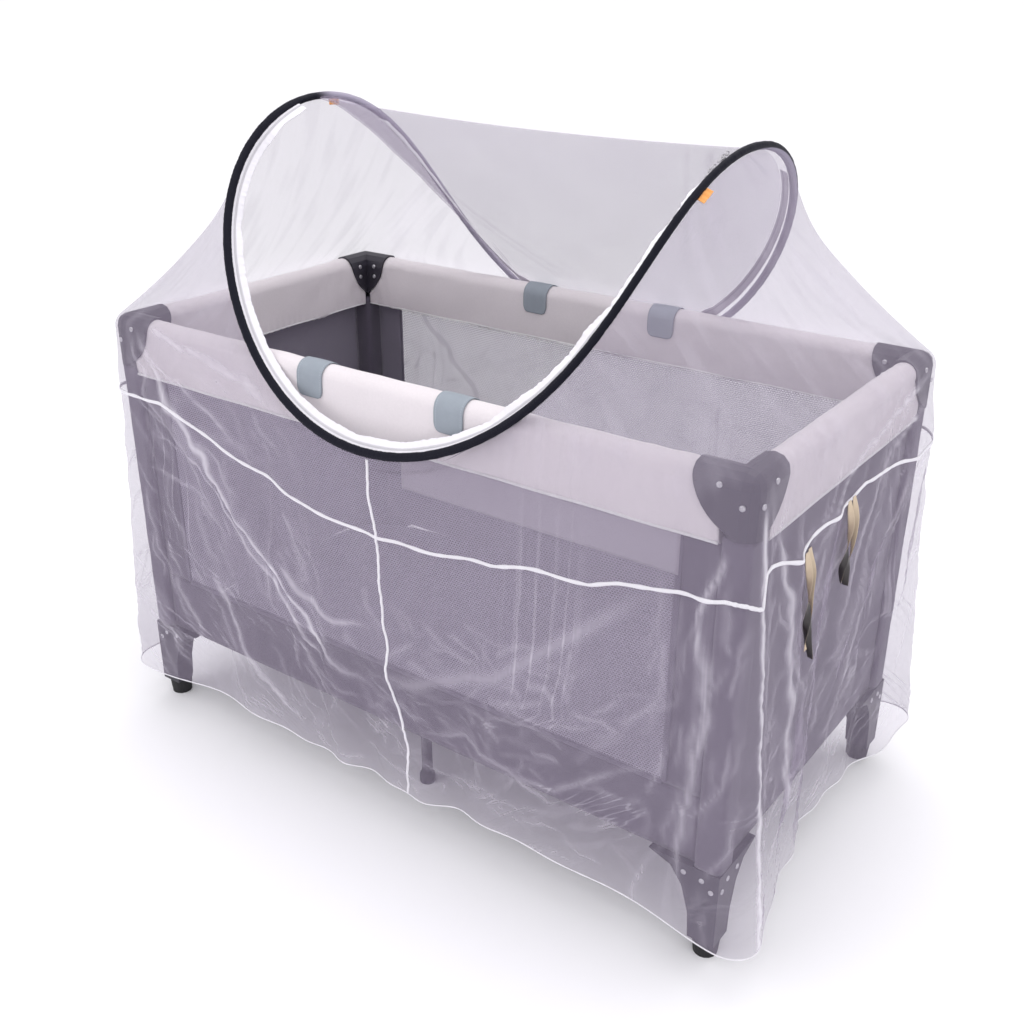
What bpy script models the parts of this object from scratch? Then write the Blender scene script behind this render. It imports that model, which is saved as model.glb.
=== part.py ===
"""A mosquito net over a folding camping cot: a spring hoop bent like a saddle straddles the long rails and
carries the net, whose skirt falls over the corner caps and whose front hatch is unzipped and thrown back.

Metres, +Z up. X runs along the cot and the open hatch is at -Y. Everything is built about the cot's own
centre on the floor and then moved a little, so that the origin is under the middle of the whole.
"""

import math

import bmesh
import bpy
import numpy as np
from mathutils import Matrix, Vector

WHOLE_SHIFT = (-0.01238, 0.00398, 0.0)

# Cot
COT_HALF_X = 0.6255
COT_HALF_Y = 0.3285
RAIL_TOP = 0.790
RAIL_HEIGHT = 0.105
RAIL_THICKNESS = 0.042
RAIL_BOTTOM = RAIL_TOP - RAIL_HEIGHT
SEAM_GAP = 0.0003
CAP_RADIUS = 0.090
CAP_PROUD = 0.004
CAP_ROUNDING = 0.0235
POST_X = 0.0465
POST_Y = 0.0495
WALL_THICKNESS = 0.002
WALL_SETBACK = 0.012
WINDOW_HALF_X = 0.520
WINDOW_BOTTOM = 0.280
BRACKET_TOP = 0.164
FOOT_HEIGHT = 0.032
BASE_TUBE_RADIUS = 0.009
BASE_TUBE_Z = 0.148
BASE_BOARD_THICKNESS = 0.024
CENTRE_LEG_Y = 0.240
CENTRE_LEG_RADIUS = 0.010
STRAP_WIDTH = 0.054
STRAP_CENTRE_X = 0.140
STRAP_DROP = 0.052
STRAP_THICKNESS = 0.002
DOOR_STRIP_START_X = 0.035
DOOR_STRIP_HEIGHT = 0.064

# Hoop
HOOP_TUBE_RADIUS = 0.006
HOOP_X = 0.459
HOOP_X_SQUARENESS = -0.036
HOOP_Y = 0.393
HOOP_Y_SQUARENESS = 0.0250
HOOP_Y_PINCH = 0.0075
HOOP_MEAN_Z = 0.914
HOOP_RISE = 0.2225
HOOP_TILT_X = -0.009
HOOP_TILT_Y = 0.0055
HOOP_TWIST = 0.008

# Net
NET_THICKNESS = 0.0014
NET_CLEARANCE = 0.0038
LONG_COLUMNS = 13
BEND_COLUMNS = 6
SHORT_COLUMNS = 7
BEND_START = 0.63
BEND_END = 0.70
FAN = 0.07
SLOPE_ROWS = 5
SHOULDER_ROWS = 3
HANG_ROWS = 9
HEM_Z = 0.086
HEM_HALF_X = 0.648
HEM_HALF_Y = 0.364
HEM_CORNER = 0.05
SLOPE_SAG = 0.028
CANOPY_STATIONS = 28
CANOPY_LAYER_GAP = 0.0035
CANOPY_CLEARANCE = 0.0024
FLAP_SHORT = 0.036
CANOPY_SAG = 0.014
RIDGE_INSET = 0.962
TAPE_WIDTH = 0.026
TAPE_THICKNESS = 0.0016
TAPE_STATIONS = 76

# Corner flares of the hem: the corner's signs, how far the cloth stands out there, and over what reach.
HEM_FLARES = (
    {"side_x": 1, "side_y": -1, "out": 0.058, "reach": 0.16},
    {"side_x": -1, "side_y": -1, "out": 0.020, "reach": 0.20},
    {"side_x": 1, "side_y": 1, "out": 0.034, "reach": 0.18},
    {"side_x": -1, "side_y": 1, "out": 0.030, "reach": 0.18},
)

# Tension folds of the skirt, each a soft ridge from one point to another on one face of the net.
# along is x on the front and back faces, and y on the left and right ones; heights are above the floor.
SKIRT_FOLDS = (
    {"face": "front", "from_along": -0.600, "from_z": 0.74, "to_along": -0.130, "to_z": 0.705, "height": 0.010, "width": 0.020},
    {"face": "front", "from_along": -0.610, "from_z": 0.72, "to_along": -0.080, "to_z": 0.330, "height": 0.014, "width": 0.026},
    {"face": "front", "from_along": -0.615, "from_z": 0.70, "to_along": -0.310, "to_z": 0.150, "height": 0.012, "width": 0.024},
    {"face": "front", "from_along": -0.080, "from_z": 0.33, "to_along": 0.250, "to_z": 0.300, "height": 0.013, "width": 0.030},
    {"face": "front", "from_along": 0.250, "from_z": 0.30, "to_along": 0.600, "to_z": 0.560, "height": 0.012, "width": 0.030},
    {"face": "front", "from_along": 0.050, "from_z": 0.66, "to_along": 0.560, "to_z": 0.760, "height": 0.010, "width": 0.022},
    {"face": "front", "from_along": 0.590, "from_z": 0.66, "to_along": 0.560, "to_z": 0.180, "height": 0.014, "width": 0.026},
    {"face": "front", "from_along": 0.030, "from_z": 0.66, "to_along": 0.075, "to_z": 0.100, "height": 0.006, "width": 0.022},
    {"face": "right", "from_along": 0.300, "from_z": 0.72, "to_along": -0.080, "to_z": 0.300, "height": 0.012, "width": 0.026},
    {"face": "right", "from_along": 0.310, "from_z": 0.70, "to_along": 0.120, "to_z": 0.180, "height": 0.012, "width": 0.026},
    {"face": "right", "from_along": -0.230, "from_z": 0.68, "to_along": -0.190, "to_z": 0.250, "height": 0.014, "width": 0.026},
    {"face": "right", "from_along": -0.060, "from_z": 0.68, "to_along": -0.260, "to_z": 0.180, "height": 0.012, "width": 0.026},
    {"face": "left", "from_along": -0.300, "from_z": 0.72, "to_along": 0.060, "to_z": 0.240, "height": 0.012, "width": 0.028},
    {"face": "left", "from_along": 0.300, "from_z": 0.72, "to_along": 0.160, "to_z": 0.160, "height": 0.012, "width": 0.028},
    {"face": "back", "from_along": -0.600, "from_z": 0.72, "to_along": -0.160, "to_z": 0.240, "height": 0.013, "width": 0.030},
    {"face": "back", "from_along": 0.600, "from_z": 0.72, "to_along": 0.200, "to_z": 0.260, "height": 0.013, "width": 0.030},
    {"face": "back", "from_along": 0.040, "from_z": 0.64, "to_along": 0.000, "to_z": 0.140, "height": 0.010, "width": 0.030},
)

# Ribbon ties at the right end: place along Y, length, sideways drift of the free end, and half turns.
RIBBONS = (
    {"name": "tie_ribbon_front_upper", "y": -0.180, "length": 0.150, "drift": 0.004, "half_turns": 1.0},
    {"name": "tie_ribbon_front_lower", "y": -0.165, "length": 0.168, "drift": 0.002, "half_turns": 0.6},
    {"name": "tie_ribbon_rear_upper", "y": -0.022, "length": 0.128, "drift": -0.006, "half_turns": 0.8},
    {"name": "tie_ribbon_rear_lower", "y": -0.006, "length": 0.140, "drift": -0.008, "half_turns": 0.5},
)
RIBBON_WIDTH = 0.010
RIBBON_THICKNESS = 0.0010
RIBBON_STANDOFF = 0.0055

# Plain tabs beside the hoop: the turn where each is sewn, the face of the cloth, 1 out and -1 in, and the
# gap that its straight edge keeps from the curved hoop.
EDGE_TABS = (
    {"name": "edge_tab_right", "degrees": -17.0, "face": 1, "gap": 0.0004},
    {"name": "edge_tab_left", "degrees": 176.0, "face": -1, "gap": 0.0009},
)
TAB_LENGTH = 0.024
TAB_WIDTH = 0.009

# Finishes: colour, roughness, metallic
FINISHES = {
    "net": ((0.86, 0.83, 0.90), 0.65, 0.0),
    "hoop_binding": ((0.012, 0.012, 0.018), 0.6, 0.0),
    "zip_tape": ((0.93, 0.92, 0.95), 0.6, 0.0),
    "zip_metal": ((0.45, 0.44, 0.46), 0.3, 1.0),
    "ribbon": ((0.72, 0.60, 0.48), 0.35, 0.0),
    "tab": ((0.90, 0.42, 0.08), 0.5, 0.0),
    "rail_fabric": ((0.70, 0.64, 0.66), 0.85, 0.0),
    "grey_plastic": ((0.085, 0.080, 0.105), 0.4, 0.0),
    "wall_fabric": ((0.16, 0.15, 0.20), 0.85, 0.0),
    "window_mesh": ((0.30, 0.28, 0.34), 0.8, 0.0),
    "door_fabric": ((0.62, 0.57, 0.64), 0.85, 0.0),
    "strap_fabric": ((0.42, 0.47, 0.53), 0.8, 0.0),
    "black_rubber": ((0.010, 0.010, 0.010), 0.8, 0.0),
    "steel_tube": ((0.35, 0.35, 0.38), 0.35, 1.0),
}

parts = None
cutters = None


def start():
    """Empties the scene and makes the two collections."""
    global parts, cutters
    for old in list(bpy.data.objects):
        bpy.data.objects.remove(old)
    parts = bpy.data.collections.new("camping_cot_net")
    cutters = bpy.data.collections.new("cutters")
    for group in (parts, cutters):
        bpy.context.scene.collection.children.link(group)


def material(finish):
    """The Principled material of one finish, made once."""
    found = bpy.data.materials.get(finish)
    if found:
        return found
    colour, roughness, metallic = FINISHES[finish]
    made = bpy.data.materials.new(finish)
    made.use_nodes = True
    shader = made.node_tree.nodes["Principled BSDF"]
    shader.inputs["Base Color"].default_value = (*colour, 1.0)
    shader.inputs["Roughness"].default_value = roughness
    shader.inputs["Metallic"].default_value = metallic
    return made


def keep(made, name, finish):
    """Names an object, gives it its finish and moves it to the parts."""
    made.name = name
    made.data.name = name
    made.data.materials.clear()
    made.data.materials.append(material(finish))
    for group in list(made.users_collection):
        group.objects.unlink(made)
    parts.objects.link(made)
    return made


def as_cutter(made):
    """Turns an object into a hidden guide for a Boolean."""
    for group in list(made.users_collection):
        group.objects.unlink(made)
    cutters.objects.link(made)
    made.hide_render = True
    made.display_type = "WIRE"
    return made


def smooth(made, degrees=35):
    made.data.shade_smooth()
    made.data.set_sharp_from_angle(angle=math.radians(degrees))
    return made


def box(low, high, rounding=0.0, segments=3):
    """A cube primitive between two corners, its edges rounded by a Bevel modifier."""
    low, high = Vector(low), Vector(high)
    bpy.ops.mesh.primitive_cube_add(size=1, location=(low + high) / 2)
    made = bpy.context.object
    made.scale = high - low
    bpy.ops.object.transform_apply(location=False, rotation=False, scale=True)
    if rounding:
        bevel = made.modifiers.new("rounding", "BEVEL")
        bevel.width = rounding
        bevel.segments = segments
        bevel.limit_method = "NONE"
    return made


def solid_from(made):
    """The evaluated mesh of an object as a new object, its loose caps welded."""
    bpy.context.view_layer.update()
    seen = made.evaluated_get(bpy.context.evaluated_depsgraph_get())
    mesh = bpy.data.meshes.new_from_object(seen)
    work = bmesh.new()
    work.from_mesh(mesh)
    bmesh.ops.remove_doubles(work, verts=work.verts, dist=0.00002)
    bmesh.ops.recalc_face_normals(work, faces=work.faces)
    work.to_mesh(mesh)
    work.free()
    new = bpy.data.objects.new(made.name, mesh)
    new.matrix_world = made.matrix_world.copy()
    bpy.context.scene.collection.objects.link(new)
    bpy.data.objects.remove(made)
    return new


def boolean(made, other, operation):
    """Joins or cuts one mesh object with another, exactly."""
    change = made.modifiers.new(operation.lower(), "BOOLEAN")
    change.operation = operation
    change.object = other
    change.solver = "EXACT"
    as_cutter(other)
    return made


# Local Z of an outline runs along the cot's X or Y, and its local Y runs up.
ALONG_X = Matrix(((0, 0, 1, 0), (1, 0, 0, 0), (0, 1, 0, 0), (0, 0, 0, 1)))
ALONG_Y = Matrix(((-1, 0, 0, 0), (0, 0, 1, 0), (0, 1, 0, 0), (0, 0, 0, 1)))


def prism(outline, length, turn, centre):
    """A flat closed outline as a 2D curve, given a length, turned and moved into place."""
    curve = bpy.data.curves.new("outline", "CURVE")
    curve.dimensions = "2D"
    curve.fill_mode = "BOTH"
    curve.extrude = length / 2
    line = curve.splines.new("POLY")
    line.points.add(len(outline) - 1)
    for point, (x, y) in zip(line.points, outline):
        point.co = (x, y, 0, 1)
    line.use_cyclic_u = True
    made = bpy.data.objects.new("outline", curve)
    bpy.context.scene.collection.objects.link(made)
    made.matrix_world = Matrix.Translation(Vector(centre)) @ turn
    return solid_from(made)


def tube(points, radius, name, finish, cyclic=False, resolution=2):
    """A round tube along a line of points, as a bevelled POLY curve."""
    curve = bpy.data.curves.new(name, "CURVE")
    curve.dimensions = "3D"
    curve.bevel_depth = radius
    curve.bevel_resolution = resolution
    curve.use_fill_caps = not cyclic
    line = curve.splines.new("POLY")
    line.points.add(len(points) - 1)
    for point, place in zip(line.points, points):
        point.co = (*place, 1)
    line.use_cyclic_u = cyclic
    made = bpy.data.objects.new(name, curve)
    bpy.context.scene.collection.objects.link(made)
    return keep(made, name, finish)


def arc(centre_x, centre_y, radius, start_degrees, end_degrees, steps):
    """Points of a circular arc in a plane."""
    turns = np.radians(np.linspace(start_degrees, end_degrees, steps + 1))
    return [(centre_x + radius * math.cos(a), centre_y + radius * math.sin(a)) for a in turns]


# The cot's frame and walls

def rail_outline(grow=0.0):
    """The padded rail's section: full round on top, small rounding below."""
    half = RAIL_THICKNESS / 2 + grow
    low_round = 0.008
    top = RAIL_HEIGHT / 2 - RAIL_THICKNESS / 2
    bottom = -RAIL_HEIGHT / 2 - grow
    points = arc(0, top, half, 0, 180, 8)
    points += arc(-half + low_round, bottom + low_round, low_round, 180, 270, 2)
    points += arc(half - low_round, bottom + low_round, low_round, 270, 360, 2)
    return points


def corner_disc(side_x, side_y, along_x, radius):
    """The round wing of a corner cap, as a thick disc about the corner's top."""
    turn = (math.radians(90), 0, 0) if along_x else (0, math.radians(90), 0)
    bpy.ops.mesh.primitive_cylinder_add(
        vertices=40, radius=radius, depth=0.16, rotation=turn,
        location=(side_x * COT_HALF_X, side_y * COT_HALF_Y, RAIL_TOP),
    )
    bpy.ops.object.transform_apply(location=False, rotation=True, scale=False)
    return bpy.context.object


def rails():
    """Four padded rails, each ending under the round wings of its corner caps."""
    middle_z = RAIL_TOP - RAIL_HEIGHT / 2
    long_half = COT_HALF_X - POST_X - SEAM_GAP
    short_half = COT_HALF_Y - POST_Y - SEAM_GAP
    long_y = COT_HALF_Y - RAIL_THICKNESS / 2
    short_x = COT_HALF_X - RAIL_THICKNESS / 2
    for name, side in (("rail_front", -1), ("rail_back", 1)):
        rail = prism(rail_outline(), 2 * long_half, ALONG_X, (0, side * long_y, middle_z))
        for end in (-1, 1):
            boolean(rail, corner_disc(end, side, True, CAP_RADIUS + SEAM_GAP), "DIFFERENCE")
        smooth(keep(rail, name, "rail_fabric"))
    for name, side in (("rail_left", -1), ("rail_right", 1)):
        rail = prism(rail_outline(), 2 * short_half, ALONG_Y, (side * short_x, 0, middle_z))
        for end in (-1, 1):
            boolean(rail, corner_disc(side, end, False, CAP_RADIUS + SEAM_GAP), "DIFFERENCE")
        smooth(keep(rail, name, "rail_fabric"))


CORNERS = {"front_left": (-1, -1), "front_right": (1, -1), "back_left": (-1, 1), "back_right": (1, 1)}


def corner_span(side, half, reach):
    """Low and high coordinate of a block that reaches inwards from one corner's outer face."""
    outer = half + CAP_PROUD
    return sorted((side * outer, side * (outer - reach)))


def corner_caps():
    """Plastic caps whose two round wings clasp the rails at each corner."""
    thick = RAIL_THICKNESS + 2 * CAP_PROUD
    reach = CAP_RADIUS + 0.030
    top = RAIL_TOP + CAP_PROUD
    bottom = RAIL_BOTTOM - 0.030
    for place, (side_x, side_y) in CORNERS.items():
        long_x = corner_span(side_x, COT_HALF_X, reach)
        thin_y = corner_span(side_y, COT_HALF_Y, thick)
        thin_x = corner_span(side_x, COT_HALF_X, thick)
        long_y = corner_span(side_y, COT_HALF_Y, reach)
        wing = box((long_x[0], thin_y[0], bottom), (long_x[1], thin_y[1], top), CAP_ROUNDING, 3)
        boolean(wing, corner_disc(side_x, side_y, True, CAP_RADIUS), "INTERSECT")
        other = box((thin_x[0], long_y[0], bottom), (thin_x[1], long_y[1], top), CAP_ROUNDING, 3)
        boolean(other, corner_disc(side_x, side_y, False, CAP_RADIUS), "INTERSECT")
        other = solid_from(other)
        boolean(wing, other, "UNION")
        smooth(keep(wing, "cap_" + place, "grey_plastic"))


def corner_posts():
    """Fabric-covered corner tubes between the caps and the foot brackets."""
    top = RAIL_TOP - CAP_RADIUS - SEAM_GAP
    for place, (side_x, side_y) in CORNERS.items():
        x = sorted((side_x * COT_HALF_X, side_x * (COT_HALF_X - POST_X)))
        y = sorted((side_y * COT_HALF_Y, side_y * (COT_HALF_Y - POST_Y)))
        post = box((x[0], y[0], BRACKET_TOP + SEAM_GAP), (x[1], y[1], top), 0.010, 2)
        smooth(keep(post, "post_" + place, "wall_fabric"))


def bracket_outline(side):
    """One wing of a foot bracket: narrow at the foot, flaring inwards at its top."""
    reach = ((0.044, 0.0), (0.047, 0.045), (0.060, 0.090), (0.080, 0.118), (0.118, 0.132))
    height = BRACKET_TOP - FOOT_HEIGHT
    points = [(0.0, 0.0)] + [(inward, up) for inward, up in reach] + [(0.0, height)]
    return [(-side * inward, up) for inward, up in points]


def foot_brackets():
    """Plastic foot brackets, two flared wings joined at each corner."""
    thick = 0.036
    for place, (side_x, side_y) in CORNERS.items():
        corner = (side_x * COT_HALF_X, side_y * COT_HALF_Y)
        turn = Matrix(((1, 0, 0, 0), (0, 0, -1, 0), (0, 1, 0, 0), (0, 0, 0, 1)))
        wing = prism(bracket_outline(side_x), thick, turn, (corner[0], corner[1] - side_y * thick / 2, FOOT_HEIGHT))
        turn = Matrix(((0, 0, 1, 0), (1, 0, 0, 0), (0, 1, 0, 0), (0, 0, 0, 1)))
        other = prism(bracket_outline(side_y), thick, turn, (corner[0] - side_x * thick / 2, corner[1], FOOT_HEIGHT))
        boolean(wing, other, "UNION")
        keep(wing, "foot_bracket_" + place, "grey_plastic")


def foot_pads():
    """Black rubber feet, a little tapered."""
    for place, (side_x, side_y) in CORNERS.items():
        bpy.ops.mesh.primitive_cone_add(
            vertices=16, radius1=0.019, radius2=0.022, depth=FOOT_HEIGHT - SEAM_GAP,
            location=(side_x * (COT_HALF_X - 0.023), side_y * (COT_HALF_Y - 0.023), (FOOT_HEIGHT - SEAM_GAP) / 2),
        )
        smooth(keep(bpy.context.object, "foot_pad_" + place, "black_rubber"))


def long_walls():
    """Front and back walls: solid corner panels, a mesh window and a fabric band below it."""
    end_x = COT_HALF_X - POST_X - SEAM_GAP
    top = RAIL_BOTTOM - SEAM_GAP
    for name, side in (("front", -1), ("back", 1)):
        y = side * (COT_HALF_Y - WALL_SETBACK)
        near, far = sorted((y - side * WALL_THICKNESS / 2, y + side * WALL_THICKNESS / 2))
        band_top = WINDOW_BOTTOM - SEAM_GAP
        low = BRACKET_TOP + SEAM_GAP
        for hand, x in (("left", (-end_x, -WINDOW_HALF_X)), ("right", (WINDOW_HALF_X, end_x))):
            panel = box((x[0], near, WINDOW_BOTTOM), (x[1], far, top))
            keep(panel, f"corner_panel_{name}_{hand}", "wall_fabric")
        inner = WINDOW_HALF_X - SEAM_GAP
        keep(box((-inner, near, WINDOW_BOTTOM), (inner, far, top)), "mesh_window_" + name, "window_mesh")
        keep(box((-end_x, near, low), (end_x, far, band_top)), "lower_band_" + name, "wall_fabric")


def end_walls():
    """Solid fabric walls at the two ends."""
    end_y = COT_HALF_Y - POST_Y - SEAM_GAP
    for name, side in (("left", -1), ("right", 1)):
        x = side * (COT_HALF_X - WALL_SETBACK)
        near, far = sorted((x - WALL_THICKNESS / 2, x + WALL_THICKNESS / 2))
        wall = box((near, -end_y, BRACKET_TOP + SEAM_GAP), (far, end_y, RAIL_BOTTOM - SEAM_GAP))
        keep(wall, "end_wall_" + name, "wall_fabric")


def door_strip():
    """The pale fabric strip above the side door's mesh, on the right half of the front."""
    y = -(COT_HALF_Y - WALL_SETBACK) - WALL_THICKNESS / 2 - SEAM_GAP
    strip = box(
        (DOOR_STRIP_START_X, y - 0.0015, RAIL_BOTTOM - SEAM_GAP - DOOR_STRIP_HEIGHT),
        (WINDOW_HALF_X, y, RAIL_BOTTOM - SEAM_GAP),
    )
    keep(strip, "door_strip", "door_fabric")


def rail_straps():
    """Two fabric straps folded over each long rail."""
    inner = rail_outline(SEAM_GAP)
    outer = rail_outline(SEAM_GAP + STRAP_THICKNESS)
    half = RAIL_THICKNESS / 2 + SEAM_GAP
    drop = RAIL_HEIGHT / 2 - STRAP_DROP
    over_inner = [(x, y) for x, y in inner[:9]]
    over_outer = [(x, y) for x, y in outer[:9]]
    outline = [(half + STRAP_THICKNESS, drop)] + over_outer + [(-half - STRAP_THICKNESS, drop)]
    outline += [(-half, drop)] + over_inner[::-1] + [(half, drop)]
    middle_z = RAIL_TOP - RAIL_HEIGHT / 2
    for row, side in (("front", -1), ("back", 1)):
        for hand, end in (("left", -1), ("right", 1)):
            y = side * (COT_HALF_Y - RAIL_THICKNESS / 2)
            strap = prism(outline, STRAP_WIDTH, ALONG_X, (end * STRAP_CENTRE_X, y, middle_z))
            smooth(keep(strap, f"rail_strap_{row}_{hand}", "strap_fabric"))


def base():
    """The folding base's tube ring, its cross tube with two centre legs, and the padded board on it."""
    inset = 0.036 + SEAM_GAP + BASE_TUBE_RADIUS
    x, y = COT_HALF_X - inset, COT_HALF_Y - inset
    bend = 0.022
    ring = []
    for side_x, side_y, start_turn in ((1, 1, 0), (-1, 1, 90), (-1, -1, 180), (1, -1, 270)):
        centre = (side_x * (x - bend), side_y * (y - bend))
        ring += [(px, py, BASE_TUBE_Z) for px, py in arc(*centre, bend, start_turn, start_turn + 90, 4)]
    tube(ring, BASE_TUBE_RADIUS, "base_frame", "steel_tube", cyclic=True)
    reach = y - BASE_TUBE_RADIUS - SEAM_GAP
    tube([(0, -reach, BASE_TUBE_Z), (0, reach, BASE_TUBE_Z)], BASE_TUBE_RADIUS, "base_cross_tube", "steel_tube")
    leg_top = BASE_TUBE_Z - BASE_TUBE_RADIUS - SEAM_GAP
    for name, side in (("centre_leg_front", -1), ("centre_leg_back", 1)):
        bpy.ops.mesh.primitive_cylinder_add(
            vertices=14, radius=CENTRE_LEG_RADIUS, depth=leg_top, location=(0, side * CENTRE_LEG_Y, leg_top / 2)
        )
        smooth(keep(bpy.context.object, name, "grey_plastic"))
    low = BASE_TUBE_Z + BASE_TUBE_RADIUS + SEAM_GAP
    half_x = COT_HALF_X - WALL_SETBACK - 0.006 - 0.030
    half_y = COT_HALF_Y - WALL_SETBACK - 0.006 - 0.030
    board = box((-half_x, -half_y, low), (half_x, half_y, low + BASE_BOARD_THICKNESS), 0.006, 2)
    smooth(keep(board, "base_board", "wall_fabric"))


# The hoop and the net

def hoop_points(turn):
    """Centre line of the hoop: an ellipse in plan, squared a little, that rises twice round its turn."""
    x = HOOP_X * np.cos(turn) + HOOP_X_SQUARENESS * np.cos(3 * turn)
    y = HOOP_Y * np.sin(turn) + HOOP_Y_SQUARENESS * np.sin(3 * turn) + HOOP_Y_PINCH * np.sin(5 * turn)
    z = HOOP_MEAN_Z + HOOP_RISE * np.cos(2 * turn) + HOOP_TILT_X * np.cos(turn)
    z = z + HOOP_TILT_Y * np.sin(turn) + HOOP_TWIST * np.sin(3 * turn)
    return np.stack([x, y, z], axis=-1)


def square_to_hoop(turn, direction):
    """The part of each direction that is square to the hoop, as a unit vector."""
    along = hoop_points(turn + 0.001) - hoop_points(turn - 0.001)
    along /= np.linalg.norm(along, axis=1)[:, None]
    direction = direction - along * (direction * along).sum(axis=1)[:, None]
    return direction / np.linalg.norm(direction, axis=1)[:, None]


def hoop():
    turns = skirt_columns()[0]
    points = [tuple(p) for p in hoop_points(turns)]
    return tube(points, HOOP_TUBE_RADIUS, "hoop", "hoop_binding", cyclic=True)


def smooth_step(value):
    value = np.clip(value, 0, 1)
    return value * value * (3 - 2 * value)


def quarter_places(long_columns, bend_columns, short_columns):
    """Places 0 to 1 of the columns in a quarter, from the long side's middle to the short side's."""
    return np.concatenate([
        np.linspace(0, BEND_START, long_columns, endpoint=False),
        np.linspace(BEND_START, BEND_END, bend_columns, endpoint=False),
        np.linspace(BEND_END, 1, short_columns, endpoint=False),
    ])


def skirt_columns(density=1):
    """For each column: its turn of the hoop, its place in its quarter, and the quarter's two signs."""
    places = quarter_places(LONG_COLUMNS * density, BEND_COLUMNS * density, SHORT_COLUMNS * density)
    back = np.concatenate([places[1:], [1.0]])[::-1]
    turns, all_places, signs = [], [], []
    quarters = ((0, 1, 1, False), (90, -1, 1, True), (180, -1, -1, False), (270, 1, -1, True))
    for start_degrees, side_x, side_y, from_long in quarters:
        place = places if from_long else back
        fanned = place + FAN * np.sin(2 * math.pi * place)
        turn = start_degrees + 90 * (fanned if from_long else 1 - fanned)
        turns.append(np.radians(turn))
        all_places.append(place)
        signs.append(np.tile((side_x, side_y), (len(place), 1)))
    return np.concatenate(turns), np.concatenate(all_places), np.concatenate(signs)


def plan_path(place, signs, half_x, half_y, corner):
    """Plan points on a rounded rectangle and their outward directions, by place in each quarter."""
    along_long = np.clip(place / BEND_START, 0, 1) * (half_x - corner)
    bend = np.clip((place - BEND_START) / (BEND_END - BEND_START), 0, 1) * math.pi / 2
    along_short = np.clip((1 - place) / (1 - BEND_END), 0, 1) * (half_y - corner)
    normal = np.stack([np.sin(bend), np.cos(bend)], axis=1)
    centre = np.stack([along_long, along_short], axis=1)
    return (centre + corner * normal) * signs, normal * signs


def hem_line(place, signs):
    """Plan of the hem: a rounded rectangle that stands out at its corners and draws in at the two ends."""
    plan, normal = plan_path(place, signs, HEM_HALF_X, HEM_HALF_Y, HEM_CORNER)
    half = np.array([HEM_HALF_X, HEM_HALF_Y])
    for flare in HEM_FLARES:
        side = np.array([flare["side_x"], flare["side_y"]])
        away = np.linalg.norm(plan - half * side, axis=1)
        out = flare["out"] * np.exp(-((away / flare["reach"]) ** 2))
        plan = plan + out[:, None] * side * (1.0, 0.3)
    draw = 0.014 * np.exp(-((plan[:, 1] / 0.16) ** 2)) * np.abs(normal[:, 0])
    return plan - draw[:, None] * normal


def clear_of_rim(points, distance):
    """Moves points out to a distance from the rim's centre plane, an upright stadium swept round the cot."""
    half = np.array([COT_HALF_X - RAIL_THICKNESS / 2, COT_HALF_Y - RAIL_THICKNESS / 2])
    plan = points[:, :2]
    beyond = np.abs(plan) - half
    both = (beyond > 0).all(axis=1)
    signed = np.where(both, np.linalg.norm(np.maximum(beyond, 0), axis=1), beyond.max(axis=1))
    larger = (beyond[:, 0] >= beyond[:, 1]).astype(float)
    direction = np.where(both[:, None], np.maximum(beyond, 0), np.stack([larger, 1 - larger], axis=1))
    direction = direction / np.linalg.norm(direction, axis=1)[:, None] * np.where(plan < 0, -1.0, 1.0)
    over = np.maximum(points[:, 2] - (RAIL_TOP - RAIL_THICKNESS / 2), 0)
    reach = np.maximum(np.hypot(signed, over), 0.0001)
    short = np.maximum(distance - reach, 0) * (points[:, 2] > 0.60)
    moved = points.copy()
    moved[:, :2] += direction * (signed / reach * short)[:, None]
    moved[:, 2] += over / reach * short
    return moved


def raise_folds(points, normal):
    """Adds each tension fold as a soft ridge about its line, fading at both ends."""
    faces = {"front": (0, 1, -1.0), "back": (0, 1, 1.0), "left": (1, 0, -1.0), "right": (1, 0, 1.0)}
    moved = points.copy()
    for fold in SKIRT_FOLDS:
        along, across_axis, sign = faces[fold["face"]]
        facing = np.maximum(normal[:, across_axis] * sign, 0) ** 2
        start = np.array([fold["from_along"], fold["from_z"]])
        run = np.array([fold["to_along"], fold["to_z"]]) - start
        place = points[:, [along, 2]] - start
        share = place @ run / (run @ run)
        across = np.linalg.norm(place - np.clip(share, 0, 1)[:, None] * run, axis=1)
        fade = smooth_step(share / 0.15 + 0.3) * smooth_step((1 - share) / 0.25 + 0.2)
        lift = fold["height"] * np.exp(-((across / fold["width"]) ** 2)) * fade * facing
        moved[:, across_axis] += sign * lift
    return moved


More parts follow.
